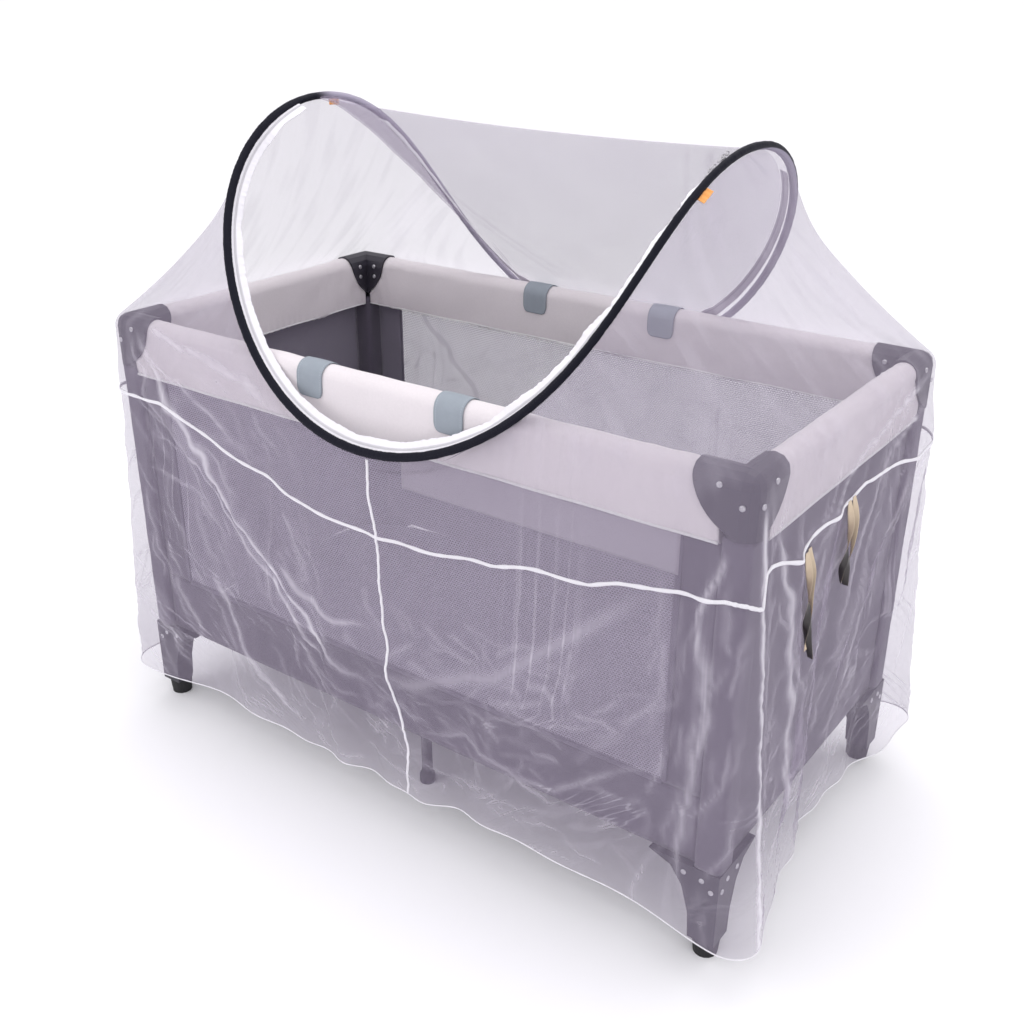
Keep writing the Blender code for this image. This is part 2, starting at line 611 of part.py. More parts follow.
def skirt_grid(density=1, row_density=1):
    """The net's skirt as rows of points, from the hoop down.

    Each column runs from the hoop to where it meets the rim, bends round the rim's top and hangs to the hem;
    where the hoop stands outside the rim the column hangs straight from it.
    """
    turn, place, signs = skirt_columns(density)
    centre = hoop_points(turn)
    reach = RAIL_THICKNESS / 2 + CAP_PROUD + NET_CLEARANCE + NET_THICKNESS / 2
    half = (COT_HALF_X - RAIL_THICKNESS / 2, COT_HALF_Y - RAIL_THICKNESS / 2)
    rim, normal = plan_path(place, signs, *half, 0.0)
    rim_z = RAIL_TOP - RAIL_THICKNESS / 2
    hem = np.column_stack([hem_line(place, signs), HEM_Z + 0.005 * np.sin(5 * turn) + 0.004 * np.sin(11 * turn + 1)])
    inward = ((centre[:, :2] - rim) * normal).sum(axis=1)
    above = centre[:, 2] - rim_z
    far = np.hypot(inward, above)
    meet = np.arctan2(above, inward) - np.arccos(np.clip(reach / far, 0, 1))
    over = smooth_step((centre[:, 2] - 0.80) / 0.16)
    corner = np.exp(-(((place - (BEND_START + BEND_END) / 2) / 0.10) ** 2))
    sag = SLOPE_SAG * over * (1 - 0.85 * corner)
    meet = meet + np.arctan2(4 * sag, far)
    wraps = meet > 0
    meet = np.clip(meet, 0, math.pi / 2)
    low_z = np.minimum(rim_z, centre[:, 2] - 0.024)
    fall = (centre[:, 2] - low_z) / (centre[:, 2] - hem[:, 2])
    straight = centre * (1 - fall[:, None]) + hem * fall[:, None]
    side = np.column_stack([rim + normal * reach, np.full(len(turn), rim_z)])
    low = np.where(wraps[:, None], side, straight)
    top = np.column_stack([rim + normal * (reach * np.cos(meet))[:, None], rim_z + reach * np.sin(meet)])
    top = np.where(wraps[:, None], top, centre * 0.4 + low * 0.6)
    heading = top - centre
    outward = (heading[:, :2] * normal).sum(axis=1)
    steep = np.hypot(outward, heading[:, 2])
    inside = np.column_stack([normal * (heading[:, 2] / steep)[:, None], -outward / steep])
    heading = square_to_hoop(turn, heading)
    start = centre + heading * (HOOP_TUBE_RADIUS + SEAM_GAP + 0.00025)
    rows = []
    slope_rows, shoulder_rows, hang_rows = (
        SLOPE_ROWS * row_density, SHOULDER_ROWS * row_density, HANG_ROWS * row_density
    )
    for step in range(slope_rows):
        s = step / slope_rows
        row = start * (1 - s) + top * s + inside * (4 * s * (1 - s) * sag)[:, None]
        rows.append(row)
    for step in range(shoulder_rows):
        s = step / shoulder_rows
        angle = meet * (1 - s)
        arc_row = np.column_stack([rim + normal * (reach * np.cos(angle))[:, None], rim_z + reach * np.sin(angle)])
        rows.append(np.where(wraps[:, None], arc_row, top * (1 - s) + low * s))
    for step in range(hang_rows + 1):
        s = step / hang_rows
        spread = s**1.15
        row = low * (1 - s) + hem * s
        row[:, :2] = low[:, :2] * (1 - spread) + hem[:, :2] * spread
        pleats = 0.005 * np.sin(17 * turn) + 0.004 * np.sin(29 * turn + 2)
        row[:, :2] += normal * (pleats * smooth_step(s * 1.6))[:, None]
        rows.append(row)
    first = slope_rows + shoulder_rows
    for step, row in enumerate(rows):
        if step:
            row = raise_folds(row, normal) if step >= first else row
            rows[step] = clear_of_rim(row, reach)
    return np.array(rows)


def grid_object(grid, closed, name):
    """A loft between unlike rows of points, as quads facing outwards."""
    rows, columns = grid.shape[:2]
    index = np.arange(rows * columns).reshape(rows, columns)
    beside = np.roll(index, -1, axis=1)
    if not closed:
        index, beside = index[:, :-1], beside[:, :-1]
    quads = np.stack([index[:-1], index[1:], beside[1:], beside[:-1]], axis=-1).reshape(-1, 4)
    mesh = bpy.data.meshes.new(name)
    mesh.from_pydata(grid.reshape(-1, 3).tolist(), [], quads.tolist())
    made = bpy.data.objects.new(name, mesh)
    bpy.context.scene.collection.objects.link(made)
    return made


def thicken(made, thickness):
    """Gives an open sheet its thickness, half to each side."""
    wall = made.modifiers.new("thickness", "SOLIDIFY")
    wall.thickness = thickness
    wall.offset = 0
    return made


def skirt():
    made = grid_object(skirt_grid(), True, "skirt")
    return smooth(keep(thicken(made, NET_THICKNESS), "net_skirt", "net"), 60)


def ridge_point(turn):
    """The canopy's ridge under a turn of the hoop: straight between the hoop's two tops, with a small sag."""
    x = hoop_points(turn)[:, 0]
    ends = hoop_points(np.array([math.pi, 0.0]))
    share = (x - ends[0, 0]) / (ends[1, 0] - ends[0, 0])
    z = ends[0, 2] * (1 - share) + ends[1, 2] * share
    z = z - 0.010 * 4 * share * (1 - share) - 0.004
    return np.column_stack([x * RIDGE_INSET, np.zeros_like(x), z])


def hoop_inward(turn):
    """Directions square to the hoop, towards the ridge."""
    return square_to_hoop(turn, ridge_point(turn) - hoop_points(turn))


def canopy_path(turn):
    """Each station's path from the ridge to the hoop's back, over the back rail where the hoop lies below it.

    The rows are four down the slope, three round the rail and two from it to the hoop. Returned with the
    outward directions of the rows.
    """
    end = hoop_points(turn) + hoop_inward(turn) * (HOOP_TUBE_RADIUS + SEAM_GAP + NET_THICKNESS / 2 + 0.0007)
    ridge = ridge_point(turn)
    centre_y, centre_z = COT_HALF_Y - RAIL_THICKNESS / 2, RAIL_TOP - RAIL_THICKNESS / 2
    reach = RAIL_THICKNESS / 2 + STRAP_THICKNESS + 2 * SEAM_GAP + NET_THICKNESS / 2 + CANOPY_CLEARANCE
    sag = CANOPY_SAG * np.sin(turn) ** 2

    def angles(point, side):
        y, z = point[:, 1] - centre_y, point[:, 2] - centre_z
        far = np.hypot(y, z)
        return np.arctan2(z, y) + side * np.arccos(np.clip(reach / far, 0, 1)), far

    meet, far = angles(ridge, -1)
    leave = angles(end, 1)[0]
    wraps = leave < meet
    meet = meet + np.arctan2(4 * sag, far)
    leave = np.minimum(leave, meet)

    def on_rail(angle, share):
        x = ridge[:, 0] * (1 - share) + end[:, 0] * share
        return np.column_stack([x, centre_y + reach * np.cos(angle), centre_z + reach * np.sin(angle)])

    split = (0.84, 0.86, 0.88, 0.90)
    around = []
    for step, share in enumerate(split):
        angle = meet + (leave - meet) * step / 3
        straight = ridge * (1 - share) + end * share
        around.append(np.where(wraps[:, None], on_rail(angle, share), straight))
    run = around[0] - ridge
    inside = np.column_stack([np.zeros(len(turn)), run[:, 2], -run[:, 1]])
    inside /= np.linalg.norm(inside, axis=1)[:, None]
    rows = []
    for s in (0.0, 0.25, 0.5, 0.75):
        rows.append(ridge * (1 - s) + around[0] * s + inside * (4 * s * (1 - s) * sag)[:, None])
    rows += around
    rows += [(around[3] + end) / 2, end]
    rows = np.array(rows)
    down = np.gradient(rows, axis=0)
    outward = np.cross(np.array([1.0, 0.0, 0.0]), down)
    outward *= np.where(outward[..., 2:3] < 0, -1.0, 1.0)
    return rows, outward / np.linalg.norm(outward, axis=2)[..., None]


def along_path(rows, outward, distance):
    """Points, and outward directions, at a distance from the ridge along each station's path."""
    steps = np.linalg.norm(np.diff(rows, axis=0), axis=2)
    run = np.concatenate([np.zeros((1, rows.shape[1])), np.cumsum(steps, axis=0)])
    both = np.concatenate([rows, outward], axis=2)
    found = [
        [np.interp(distance[station], run[:, station], both[:, station, k]) for k in range(6)]
        for station in range(rows.shape[1])
    ]
    found = np.array(found)
    return found[:, :3], found[:, 3:] / np.linalg.norm(found[:, 3:], axis=1)[:, None]


def path_lengths(rows):
    return np.linalg.norm(np.diff(rows, axis=0), axis=2).sum(axis=0)


def flap_lift(turn, share):
    return CANOPY_LAYER_GAP + 0.0008 * (1 + np.sin(9 * turn)) * share


def canopy_grid(stations):
    """The hoop's panel: from the hoop's back up to the ridge, folded over it, and down outside itself."""
    turn = np.linspace(math.radians(5), math.radians(175), stations)
    rows, outward = canopy_path(turn)
    length = path_lengths(rows)
    steps = np.linalg.norm(np.diff(rows, axis=0), axis=2)
    run = np.concatenate([np.zeros((1, stations)), np.cumsum(steps, axis=0)])
    shrink = np.maximum(1 - FLAP_SHORT / length, 0.3)
    flap = []
    for step in range(len(rows)):
        point, out = along_path(rows, outward, run[step] * shrink)
        flap.append(point + out * flap_lift(turn, step / (len(rows) - 1))[:, None])
    down = rows[1] - rows[0]
    down /= np.linalg.norm(down, axis=1)[:, None]
    fold = rows[0] + (outward[0] - down) * (CANOPY_LAYER_GAP / 2)
    return np.concatenate([rows[::-1], fold[None], np.array(flap)])


def canopy():
    made = grid_object(canopy_grid(CANOPY_STATIONS)[::-1], False, "canopy")
    return smooth(keep(thicken(made, NET_THICKNESS), "net_canopy", "net"), 60)


def tape(rows, name):
    """A zip tape from its rows of points."""
    made = grid_object(np.array(rows), False, name)
    return smooth(keep(thicken(made, TAPE_THICKNESS), name, "zip_tape"), 60)


def zip_tapes():
    """The zip's two halves: one along the hoop's front, one along the thrown-back panel's free edge."""
    turn = np.linspace(math.radians(185), math.radians(355), TAPE_STATIONS)
    inward = hoop_inward(turn)
    edge = hoop_points(turn) + inward * (HOOP_TUBE_RADIUS + SEAM_GAP + 0.0009)
    out = np.cross(np.gradient(edge, axis=0), inward)
    out /= np.linalg.norm(out, axis=1)[:, None]
    calm = smooth_step((turn - turn[0]) / 0.3) * smooth_step((turn[-1] - turn) / 0.3)
    clear = RAIL_THICKNESS / 2 + TAPE_THICKNESS / 2 + 0.0035
    rows = []
    for s in (0.0, 0.5, 1.0):
        wave = 0.0022 * s * calm * (np.sin(23 * turn) + 0.6 * np.sin(41 * turn + 1))
        rows.append(clear_of_rim(edge + inward * (TAPE_WIDTH * s) + out * wave[:, None], clear))
    tape(rows, "zip_tape_hoop")
    turn = np.linspace(math.radians(5), math.radians(175), CANOPY_STATIONS)[3:-3]
    path, outward = canopy_path(turn)
    length = path_lengths(path) - FLAP_SHORT + 0.0018
    rows = []
    for s in (0.0, 0.5, 1.0):
        point, out = along_path(path, outward, length + TAPE_WIDTH * s)
        rows.append(point + out * (flap_lift(turn, 1.0) + 0.0008)[:, None])
    tape(rows, "zip_tape_panel")


def sliders():
    """The zip's two sliders, parked together at its right end, each a body with its pull."""
    for name, degrees in (("zip_slider_lower", -10.5), ("zip_slider_upper", -6.0)):
        turn = np.radians(np.array([degrees, degrees + 2]))
        line = hoop_points(turn)
        inward = hoop_inward(turn)[0]
        along = line[1] - line[0]
        along /= np.linalg.norm(along)
        up = np.cross(along, inward)
        up *= 1 if up[2] > 0 else -1
        middle = line[0] + inward * (HOOP_TUBE_RADIUS + TAPE_WIDTH * 0.42) + up * 0.0040
        frame = Matrix((along, np.cross(up, along), up)).transposed().to_4x4()
        body = box((-0.0065, -0.0040, -0.0018), (0.0065, 0.0040, 0.0018), 0.0012, 2)
        pull = box((0.0030, -0.0022, 0.0012), (0.0190, 0.0022, 0.0028), 0.0007, 1)
        pull = solid_from(pull)
        boolean(body, pull, "UNION")
        placed = Matrix.Translation(Vector(middle)) @ frame
        body.matrix_world = placed
        pull.matrix_world = placed @ pull.matrix_world
        keep(body, name, "zip_metal")


def right_end_x(cloth, y, z):
    """How far out the cloth's right end stands within a small patch about one place."""
    found = []
    for beside in (-1, -0.5, 0, 0.5, 1):
        for above in (-0.002, 0):
            origin = Vector((1.0, y + beside * RIBBON_WIDTH / 2, z + above))
            found.append(cloth.ray_cast(origin, Vector((-1, 0, 0)))[1].x)
    return max(found)


def ribbon(row, cloth):
    """One tie: a narrow ribbon sewn on at the waist seam, turning a little on its way down."""
    top_z = 0.634 + 0.024 * math.exp(-(((row["y"] - 0.03) / 0.12) ** 2))
    seated = RIBBON_THICKNESS / 2 + SEAM_GAP + 0.0001
    sides = ([], [])
    for s in np.linspace(0, 1, 11):
        y = row["y"] + row["drift"] * s + 0.004 * math.sin(5 * s)
        z = top_z - row["length"] * s
        x = right_end_x(cloth, y, z) + seated + RIBBON_STANDOFF * float(smooth_step(3 * s))
        turn = math.pi * row["half_turns"] * float(smooth_step((s - 0.2) / 0.8))
        reach = np.array([math.sin(turn), math.cos(turn), 0]) * RIBBON_WIDTH / 2
        for side, points in zip((-1, 1), sides):
            points.append(np.array([x, y, z]) + side * reach)
    made = grid_object(np.array(sides), False, row["name"])
    return smooth(keep(thicken(made, RIBBON_THICKNESS), row["name"], "ribbon"), 60)


def edge_tabs():
    """Two small plain tabs sewn in along the hoop's outer edge, one on each face of the cloth."""
    turns = skirt_columns()[0]
    grid = skirt_grid()
    for tab in EDGE_TABS:
        turn = math.radians(tab["degrees"] % 360)
        column = int(np.argmin(np.abs(turns - turn)))
        centre, ahead = hoop_points(np.array([turns[column] - 0.01, turns[column] + 0.01]))
        along = (ahead - centre) / np.linalg.norm(ahead - centre)
        centre = (ahead + centre) / 2
        down = grid[1, column] - grid[0, column]
        down -= along * (down @ along)
        down /= np.linalg.norm(down)
        off_cloth = np.cross(along, down)
        off_cloth *= tab["face"] * (1 if off_cloth[2] > 0 else -1)
        lean = math.radians(35)
        out = down * math.cos(lean) + off_cloth * math.sin(lean)
        frame = Matrix((along, out, np.cross(along, out))).transposed().to_4x4()
        made = box((-TAB_LENGTH / 2, -TAB_WIDTH / 2, -0.0005), (TAB_LENGTH / 2, TAB_WIDTH / 2, 0.0005))
        middle = centre + out * (HOOP_TUBE_RADIUS + tab["gap"] + TAB_WIDTH / 2)
        made.matrix_world = Matrix.Translation(Vector(middle)) @ frame
        keep(made, tab["name"], "tab")


def main():
    start()
    rails()
    corner_caps()
    corner_posts()
    foot_brackets()
    foot_pads()
    long_walls()
    end_walls()
    door_strip()
    rail_straps()
    base()
    hoop()
    cloth = skirt()
    canopy()
    zip_tapes()
    sliders()
    edge_tabs()
    bpy.context.view_layer.update()
    cloth = cloth.evaluated_get(bpy.context.evaluated_depsgraph_get())
    for row in RIBBONS:
        ribbon(row, cloth)
    shift = Matrix.Translation(WHOLE_SHIFT)
    for group in (parts, cutters):
        for made in group.objects:
            made.matrix_world = shift @ made.matrix_world


main()
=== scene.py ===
"""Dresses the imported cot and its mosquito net: sheer cloth, bound hoop, zip tapes, padded rails, mesh walls.

Metres, +Z up, X along the cot, the open hatch at -Y. Shapes are first worked out about the cot's own centre
and moved by WHOLE_SHIFT when they become meshes, as the frame's solids were.
"""

import math

import bmesh
import bpy
import numpy as np
from bpy.props import FloatProperty, FloatVectorProperty, PointerProperty
from bpy.types import Operator, Panel, PropertyGroup
from mathutils import Matrix, Vector


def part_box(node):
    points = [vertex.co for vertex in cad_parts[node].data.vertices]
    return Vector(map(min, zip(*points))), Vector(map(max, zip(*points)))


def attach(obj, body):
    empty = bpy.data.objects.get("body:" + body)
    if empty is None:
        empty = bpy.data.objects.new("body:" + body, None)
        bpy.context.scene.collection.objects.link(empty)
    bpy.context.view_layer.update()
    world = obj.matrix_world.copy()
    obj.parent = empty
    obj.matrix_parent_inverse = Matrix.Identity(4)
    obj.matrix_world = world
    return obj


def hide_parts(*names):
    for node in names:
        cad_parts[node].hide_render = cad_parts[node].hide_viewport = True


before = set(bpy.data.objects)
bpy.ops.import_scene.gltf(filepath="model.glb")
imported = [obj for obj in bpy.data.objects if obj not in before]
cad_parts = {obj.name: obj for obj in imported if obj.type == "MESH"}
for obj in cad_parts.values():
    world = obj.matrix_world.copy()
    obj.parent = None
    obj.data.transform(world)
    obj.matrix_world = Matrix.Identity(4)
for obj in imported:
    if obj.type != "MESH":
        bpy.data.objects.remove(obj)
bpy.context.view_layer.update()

bl_info = {
    "name": "Cot With Mosquito Net",
    "version": (1, 0, 0),
    "blender": (4, 5, 0),
    "location": "3D View > Sidebar > Cot Net",
    "description": "Cloth, bindings, zips, padding and finishes of a folding cot under a hooped mosquito net",
    "category": "Add Mesh",
}

WHOLE_SHIFT = np.array([-0.01238, 0.00398, 0.0])

# Cot
COT_HALF_X = 0.6255
COT_HALF_Y = 0.3285
RAIL_TOP = 0.790
RAIL_HEIGHT = 0.105
RAIL_THICKNESS = 0.042
RAIL_BOTTOM = RAIL_TOP - RAIL_HEIGHT
SEAM_GAP = 0.0003
CAP_RADIUS = 0.090
CAP_PROUD = 0.004
POST_X = 0.0465
POST_Y = 0.0495
WALL_SETBACK = 0.012
POST_INNER_X = COT_HALF_X - POST_X - SEAM_GAP
POST_INNER_Y = COT_HALF_Y - POST_Y - SEAM_GAP
WINDOW_HALF_X = 0.520
WINDOW_BOTTOM = 0.280
BRACKET_TOP = 0.164
BASE_TUBE_RADIUS = 0.009
BASE_TUBE_Z = 0.148
BASE_BOARD_THICKNESS = 0.024
BASE_BOARD_INSET = 0.010
BASE_BOARD_SQUARENESS = 0.34
CENTRE_LEG_Y = 0.240
STRAP_WIDTH = 0.054
STRAP_CENTRE_X = 0.140
STRAP_DROP = 0.052
DOOR_STRIP_START_X = 0.035
DOOR_STRIP_HEIGHT = 0.064
CAP_DEPTH = 0.050
POST_SQUARENESS = 0.42

# Screws, by distance from the corner and height: on the caps' outer faces, their inner ones, and the brackets.
CAP_SCREWS = ((0.050, 0.772), (0.0165, 0.748))
INNER_CAP_SCREWS = ((0.066, 0.771), (0.066, 0.750))
BRACKET_SCREWS = ((0.058, 0.148), (0.028, 0.146), (0.012, 0.132))
SCREW_RADIUS = 0.0043

# Hoop
HOOP_TUBE_RADIUS = 0.006
HOOP_X = 0.459
HOOP_X_SQUARENESS = -0.036
HOOP_Y = 0.393
HOOP_Y_SQUARENESS = 0.0250
HOOP_Y_PINCH = 0.0075
HOOP_MEAN_Z = 0.914
HOOP_RISE = 0.2225
HOOP_TILT_X = -0.009
HOOP_TILT_Y = 0.0055
HOOP_TWIST = 0.008

# Net
NET_THICKNESS = 0.0014
NET_CLEARANCE = 0.0038
LONG_COLUMNS = 13
BEND_COLUMNS = 6
SHORT_COLUMNS = 7
BEND_START = 0.63
BEND_END = 0.70
FAN = 0.07
SLOPE_ROWS = 5
SHOULDER_ROWS = 3
HANG_ROWS = 9
HEM_Z = 0.086
HEM_HALF_X = 0.648
HEM_HALF_Y = 0.364
HEM_CORNER = 0.05
SLOPE_SAG = 0.028
CANOPY_LAYER_GAP = 0.0035
CANOPY_CLEARANCE = 0.0024
FLAP_SHORT = 0.036
CANOPY_SAG = 0.014
RIDGE_INSET = 0.962
STRAP_THICKNESS = 0.002
TAPE_WIDTH = 0.026
TAPE_SHOWN = 0.0200
TAPE_THICKNESS = 0.0016
TAPE_LEAN_DEGREES = 27
SHEET_THICKNESS = 0.0011

# Corner flares of the hem: the corner's signs, how far the cloth stands out there, and over what reach.
HEM_FLARES = (
    {"side_x": 1, "side_y": -1, "out": 0.058, "reach": 0.16},
    {"side_x": -1, "side_y": -1, "out": 0.020, "reach": 0.20},
    {"side_x": 1, "side_y": 1, "out": 0.034, "reach": 0.18},
    {"side_x": -1, "side_y": 1, "out": 0.030, "reach": 0.18},
)

# Soft tension folds: face, where each starts and ends (along the face, height), its height and half width.
SKIRT_FOLDS = (
    ("front", (-0.600, 0.74), (-0.130, 0.705), 0.010, 0.020),
    ("front", (-0.610, 0.72), (-0.080, 0.330), 0.014, 0.026),
    ("front", (-0.615, 0.70), (-0.310, 0.150), 0.012, 0.024),
    ("front", (-0.080, 0.33), (0.250, 0.300), 0.013, 0.030),
    ("front", (0.250, 0.30), (0.600, 0.560), 0.012, 0.030),
    ("front", (0.050, 0.66), (0.560, 0.760), 0.010, 0.022),
    ("front", (0.590, 0.66), (0.560, 0.180), 0.014, 0.026),
    ("front", (0.030, 0.66), (0.075, 0.100), 0.006, 0.022),
    ("right", (0.300, 0.72), (-0.080, 0.300), 0.012, 0.026),
    ("right", (0.310, 0.70), (0.120, 0.180), 0.012, 0.026),
    ("right", (-0.230, 0.68), (-0.190, 0.250), 0.014, 0.026),
    ("right", (-0.060, 0.68), (-0.260, 0.180), 0.012, 0.026),
    ("left", (-0.300, 0.72), (0.060, 0.240), 0.012, 0.028),
    ("left", (0.300, 0.72), (0.160, 0.160), 0.012, 0.028),
    ("back", (-0.600, 0.72), (-0.160, 0.240), 0.013, 0.030),
    ("back", (0.600, 0.72), (0.200, 0.260), 0.013, 0.030),
    ("back", (0.040, 0.64), (0.000, 0.140), 0.010, 0.030),
)

# Sharp creases in the net: face, the points each runs through (along the face, height), half width, strength.
CREASES = (
    ("front", ((-0.55, 0.79), (-0.48, 0.65), (-0.43, 0.61), (-0.20, 0.37), (-0.14, 0.32), (-0.07, 0.28),
               (0.06, 0.25)), 0.0065, 0.75),
    ("front", ((-0.49, 0.63), (-0.26, 0.40), (-0.16, 0.30), (-0.05, 0.22)), 0.0055, 0.55),
    ("front", ((-0.23, 0.43), (-0.08, 0.37), (0.01, 0.38)), 0.0055, 0.5),
    ("front", ((-0.42, 0.37), (-0.36, 0.30), (-0.31, 0.21), (-0.16, 0.10)), 0.0055, 0.5),
    ("front", ((-0.51, 0.33), (-0.44, 0.18)), 0.0055, 0.4),
    ("front", ((-0.55, 0.79), (-0.34, 0.75), (-0.15, 0.70)), 0.0065, 0.45),
    ("front", ((-0.57, 0.78), (-0.48, 0.71), (-0.40, 0.67), (-0.27, 0.59)), 0.0055, 0.45),
    ("front", ((-0.57, 0.77), (-0.53, 0.67), (-0.46, 0.59)), 0.0055, 0.4),
    ("front", ((0.01, 0.29), (0.10, 0.32), (0.24, 0.37), (0.33, 0.45), (0.42, 0.53), (0.52, 0.62)), 0.012, 0.3),
    ("front", ((0.60, 0.69), (0.575, 0.60), (0.585, 0.52)), 0.005, 0.55),
    ("front", ((0.585, 0.60), (0.60, 0.44), (0.575, 0.22), (0.60, 0.10)), 0.006, 0.45),
    ("front", ((0.47, 0.30), (0.36, 0.22), (0.22, 0.20)), 0.005, 0.35),
    ("front", ((0.38, 0.18), (0.18, 0.24), (0.07, 0.22)), 0.005, 0.35),
    ("right", ((0.31, 0.77), (0.05, 0.72), (-0.02, 0.70), (-0.13, 0.62), (-0.19, 0.57)), 0.006, 0.5),
    ("right", ((0.30, 0.73), (0.14, 0.68), (0.06, 0.58), (0.02, 0.48), (-0.02, 0.38)), 0.006, 0.5),
    ("right", ((-0.29, 0.74), (-0.245, 0.60), (-0.225, 0.42), (-0.23, 0.14)), 0.006, 0.7),
    ("right", ((0.05, 0.64), (-0.11, 0.47), (-0.19, 0.38)), 0.006, 0.5),
    ("right", ((0.22, 0.66), (0.10, 0.44), (0.02, 0.22)), 0.0055, 0.45),
    ("right", ((-0.10, 0.64), (-0.17, 0.50), (-0.25, 0.40)), 0.0055, 0.4),
    ("right", ((-0.28, 0.62), (-0.20, 0.44), (-0.12, 0.38)), 0.005, 0.35),
    ("left", ((0.31, 0.76), (0.12, 0.56), (0.02, 0.30)), 0.006, 0.5),
    ("left", ((-0.31, 0.76), (-0.10, 0.52), (-0.02, 0.24)), 0.006, 0.5),
    ("back", ((-0.57, 0.77), (-0.34, 0.52), (-0.16, 0.24)), 0.006, 0.55),
    ("back", ((0.57, 0.77), (0.38, 0.50), (0.20, 0.20)), 0.006, 0.55),
    ("back", ((-0.40, 0.30), (-0.10, 0.36), (0.18, 0.30)), 0.006, 0.4),
)

# Fields of small crumples: face, lowest and highest place, how many, their lean from level and its spread in
# degrees, their longest length, strength.
CRUMPLES = (
    ("front", (0.00, 0.11), (0.50, 0.44), 110, 8, 34, 0.13, 0.30),
    ("front", (-0.12, 0.10), (0.30, 0.36), 60, -30, 30, 0.10, 0.28),
    ("front", (-0.58, 0.10), (-0.10, 0.52), 60, -54, 14, 0.24, 0.34),
    ("front", (0.50, 0.10), (0.64, 0.60), 34, 84, 10, 0.20, 0.30),
    ("front", (-0.56, 0.56), (-0.20, 0.72), 26, -38, 12, 0.22, 0.34),
    ("right", (-0.30, 0.10), (0.12, 0.46), 90, 60, 16, 0.17, 0.34),
    ("right", (-0.30, 0.44), (0.30, 0.72), 60, 64, 12, 0.22, 0.38),
    ("right", (0.10, 0.12), (0.32, 0.60), 26, 72, 10, 0.24, 0.26),
    ("left", (-0.32, 0.10), (0.32, 0.66), 110, 64, 24, 0.16, 0.30),
    ("back", (-0.60, 0.10), (0.60, 0.62), 200, 30, 46, 0.16, 0.28),
)

# Height of the waist seam round the cot: place along the cloth from the middle of the front, height.
WAIST_HEIGHTS = (
    (-2.05, 0.700), (-1.70, 0.698), (-1.34, 0.680), (-1.10, 0.670), (-0.96, 0.672), (-0.80, 0.664),
    (-0.66, 0.655), (-0.581, 0.657), (-0.497, 0.655), (-0.420, 0.628), (-0.351, 0.600), (-0.260, 0.580),
    (-0.151, 0.566), (0.023, 0.555), (0.219, 0.561), (0.398, 0.578), (0.440, 0.594), (0.487, 0.605),
    (0.530, 0.613), (0.561, 0.615), (0.600, 0.623), (0.621, 0.620), (0.641, 0.612), (0.647, 0.658),
    (0.662, 0.661), (0.706, 0.650), (0.754, 0.640), (0.780, 0.645), (0.805, 0.650), (0.898, 0.649),
    (0.947, 0.650), (1.002, 0.659), (1.052, 0.657), (1.101, 0.649), (1.151, 0.647), (1.214, 0.638),
    (1.340, 0.664), (1.700, 0.696), (2.050, 0.700),
)
# The front's upright seam: place along X and height.
FRONT_SEAM = (
    (0.019, 0.684), (0.031, 0.619), (0.032, 0.562), (0.036, 0.447), (0.050, 0.303), (0.075, 0.197),
    (0.062, 0.088),
)

# Points of the cloths' grids: columns for each one of the solid's, rows above and below the waist seam.
CLOTH_DENSITY = 8
UPPER_ROWS = 80
LOWER_ROWS = 116

# Ribbon ties at the right end: place along Y, length, sideways drift of the free end, and half turns.
RIBBONS = (
    {"name": "tie_ribbon_front_upper", "y": -0.180, "length": 0.150, "drift": 0.004, "half_turns": 1.0},
    {"name": "tie_ribbon_front_lower", "y": -0.165, "length": 0.168, "drift": 0.002, "half_turns": 0.6},
    {"name": "tie_ribbon_rear_upper", "y": -0.022, "length": 0.128, "drift": -0.006, "half_turns": 0.8},
    {"name": "tie_ribbon_rear_lower", "y": -0.006, "length": 0.140, "drift": -0.008, "half_turns": 0.5},
)
RIBBON_WIDTH = 0.010
RIBBON_STANDOFF = 0.0055

# Tabs beside the hoop, by the turn of the hoop at which each is sewn in.
EDGE_TABS = (
    {"name": "edge_tab_right", "degrees": -17.0},
    {"name": "edge_tab_left", "degrees": 176.0},
)
TAB_LENGTH = 0.024
TAB_WIDTH = 0.009
TAB_CLOTH_WIDTH = 0.0104

CORNERS = {"front_left": (-1, -1), "front_right": (1, -1), "back_left": (-1, 1), "back_right": (1, 1)}

# The camera fitted to the photograph: angles in radians, place about the cot's own centre, film and lens in mm.
CAMERA_AZIMUTH = 0.62966
CAMERA_ELEVATION = 0.4329
CAMERA_ROLL = 0.00341
CAMERA_PLACE = (1.1658, -1.58086, 1.36041)
CAMERA_FILM = 36.0
CAMERA_LENS = 41.76


# Settings

def colour_setting(name, description, default):
    return FloatVectorProperty(
        name=name, description=description, subtype="COLOR", size=3, min=0, max=1, default=default)


def length_setting(name, description, default):
    return FloatProperty(name=name, description=description, unit="LENGTH", default=default)


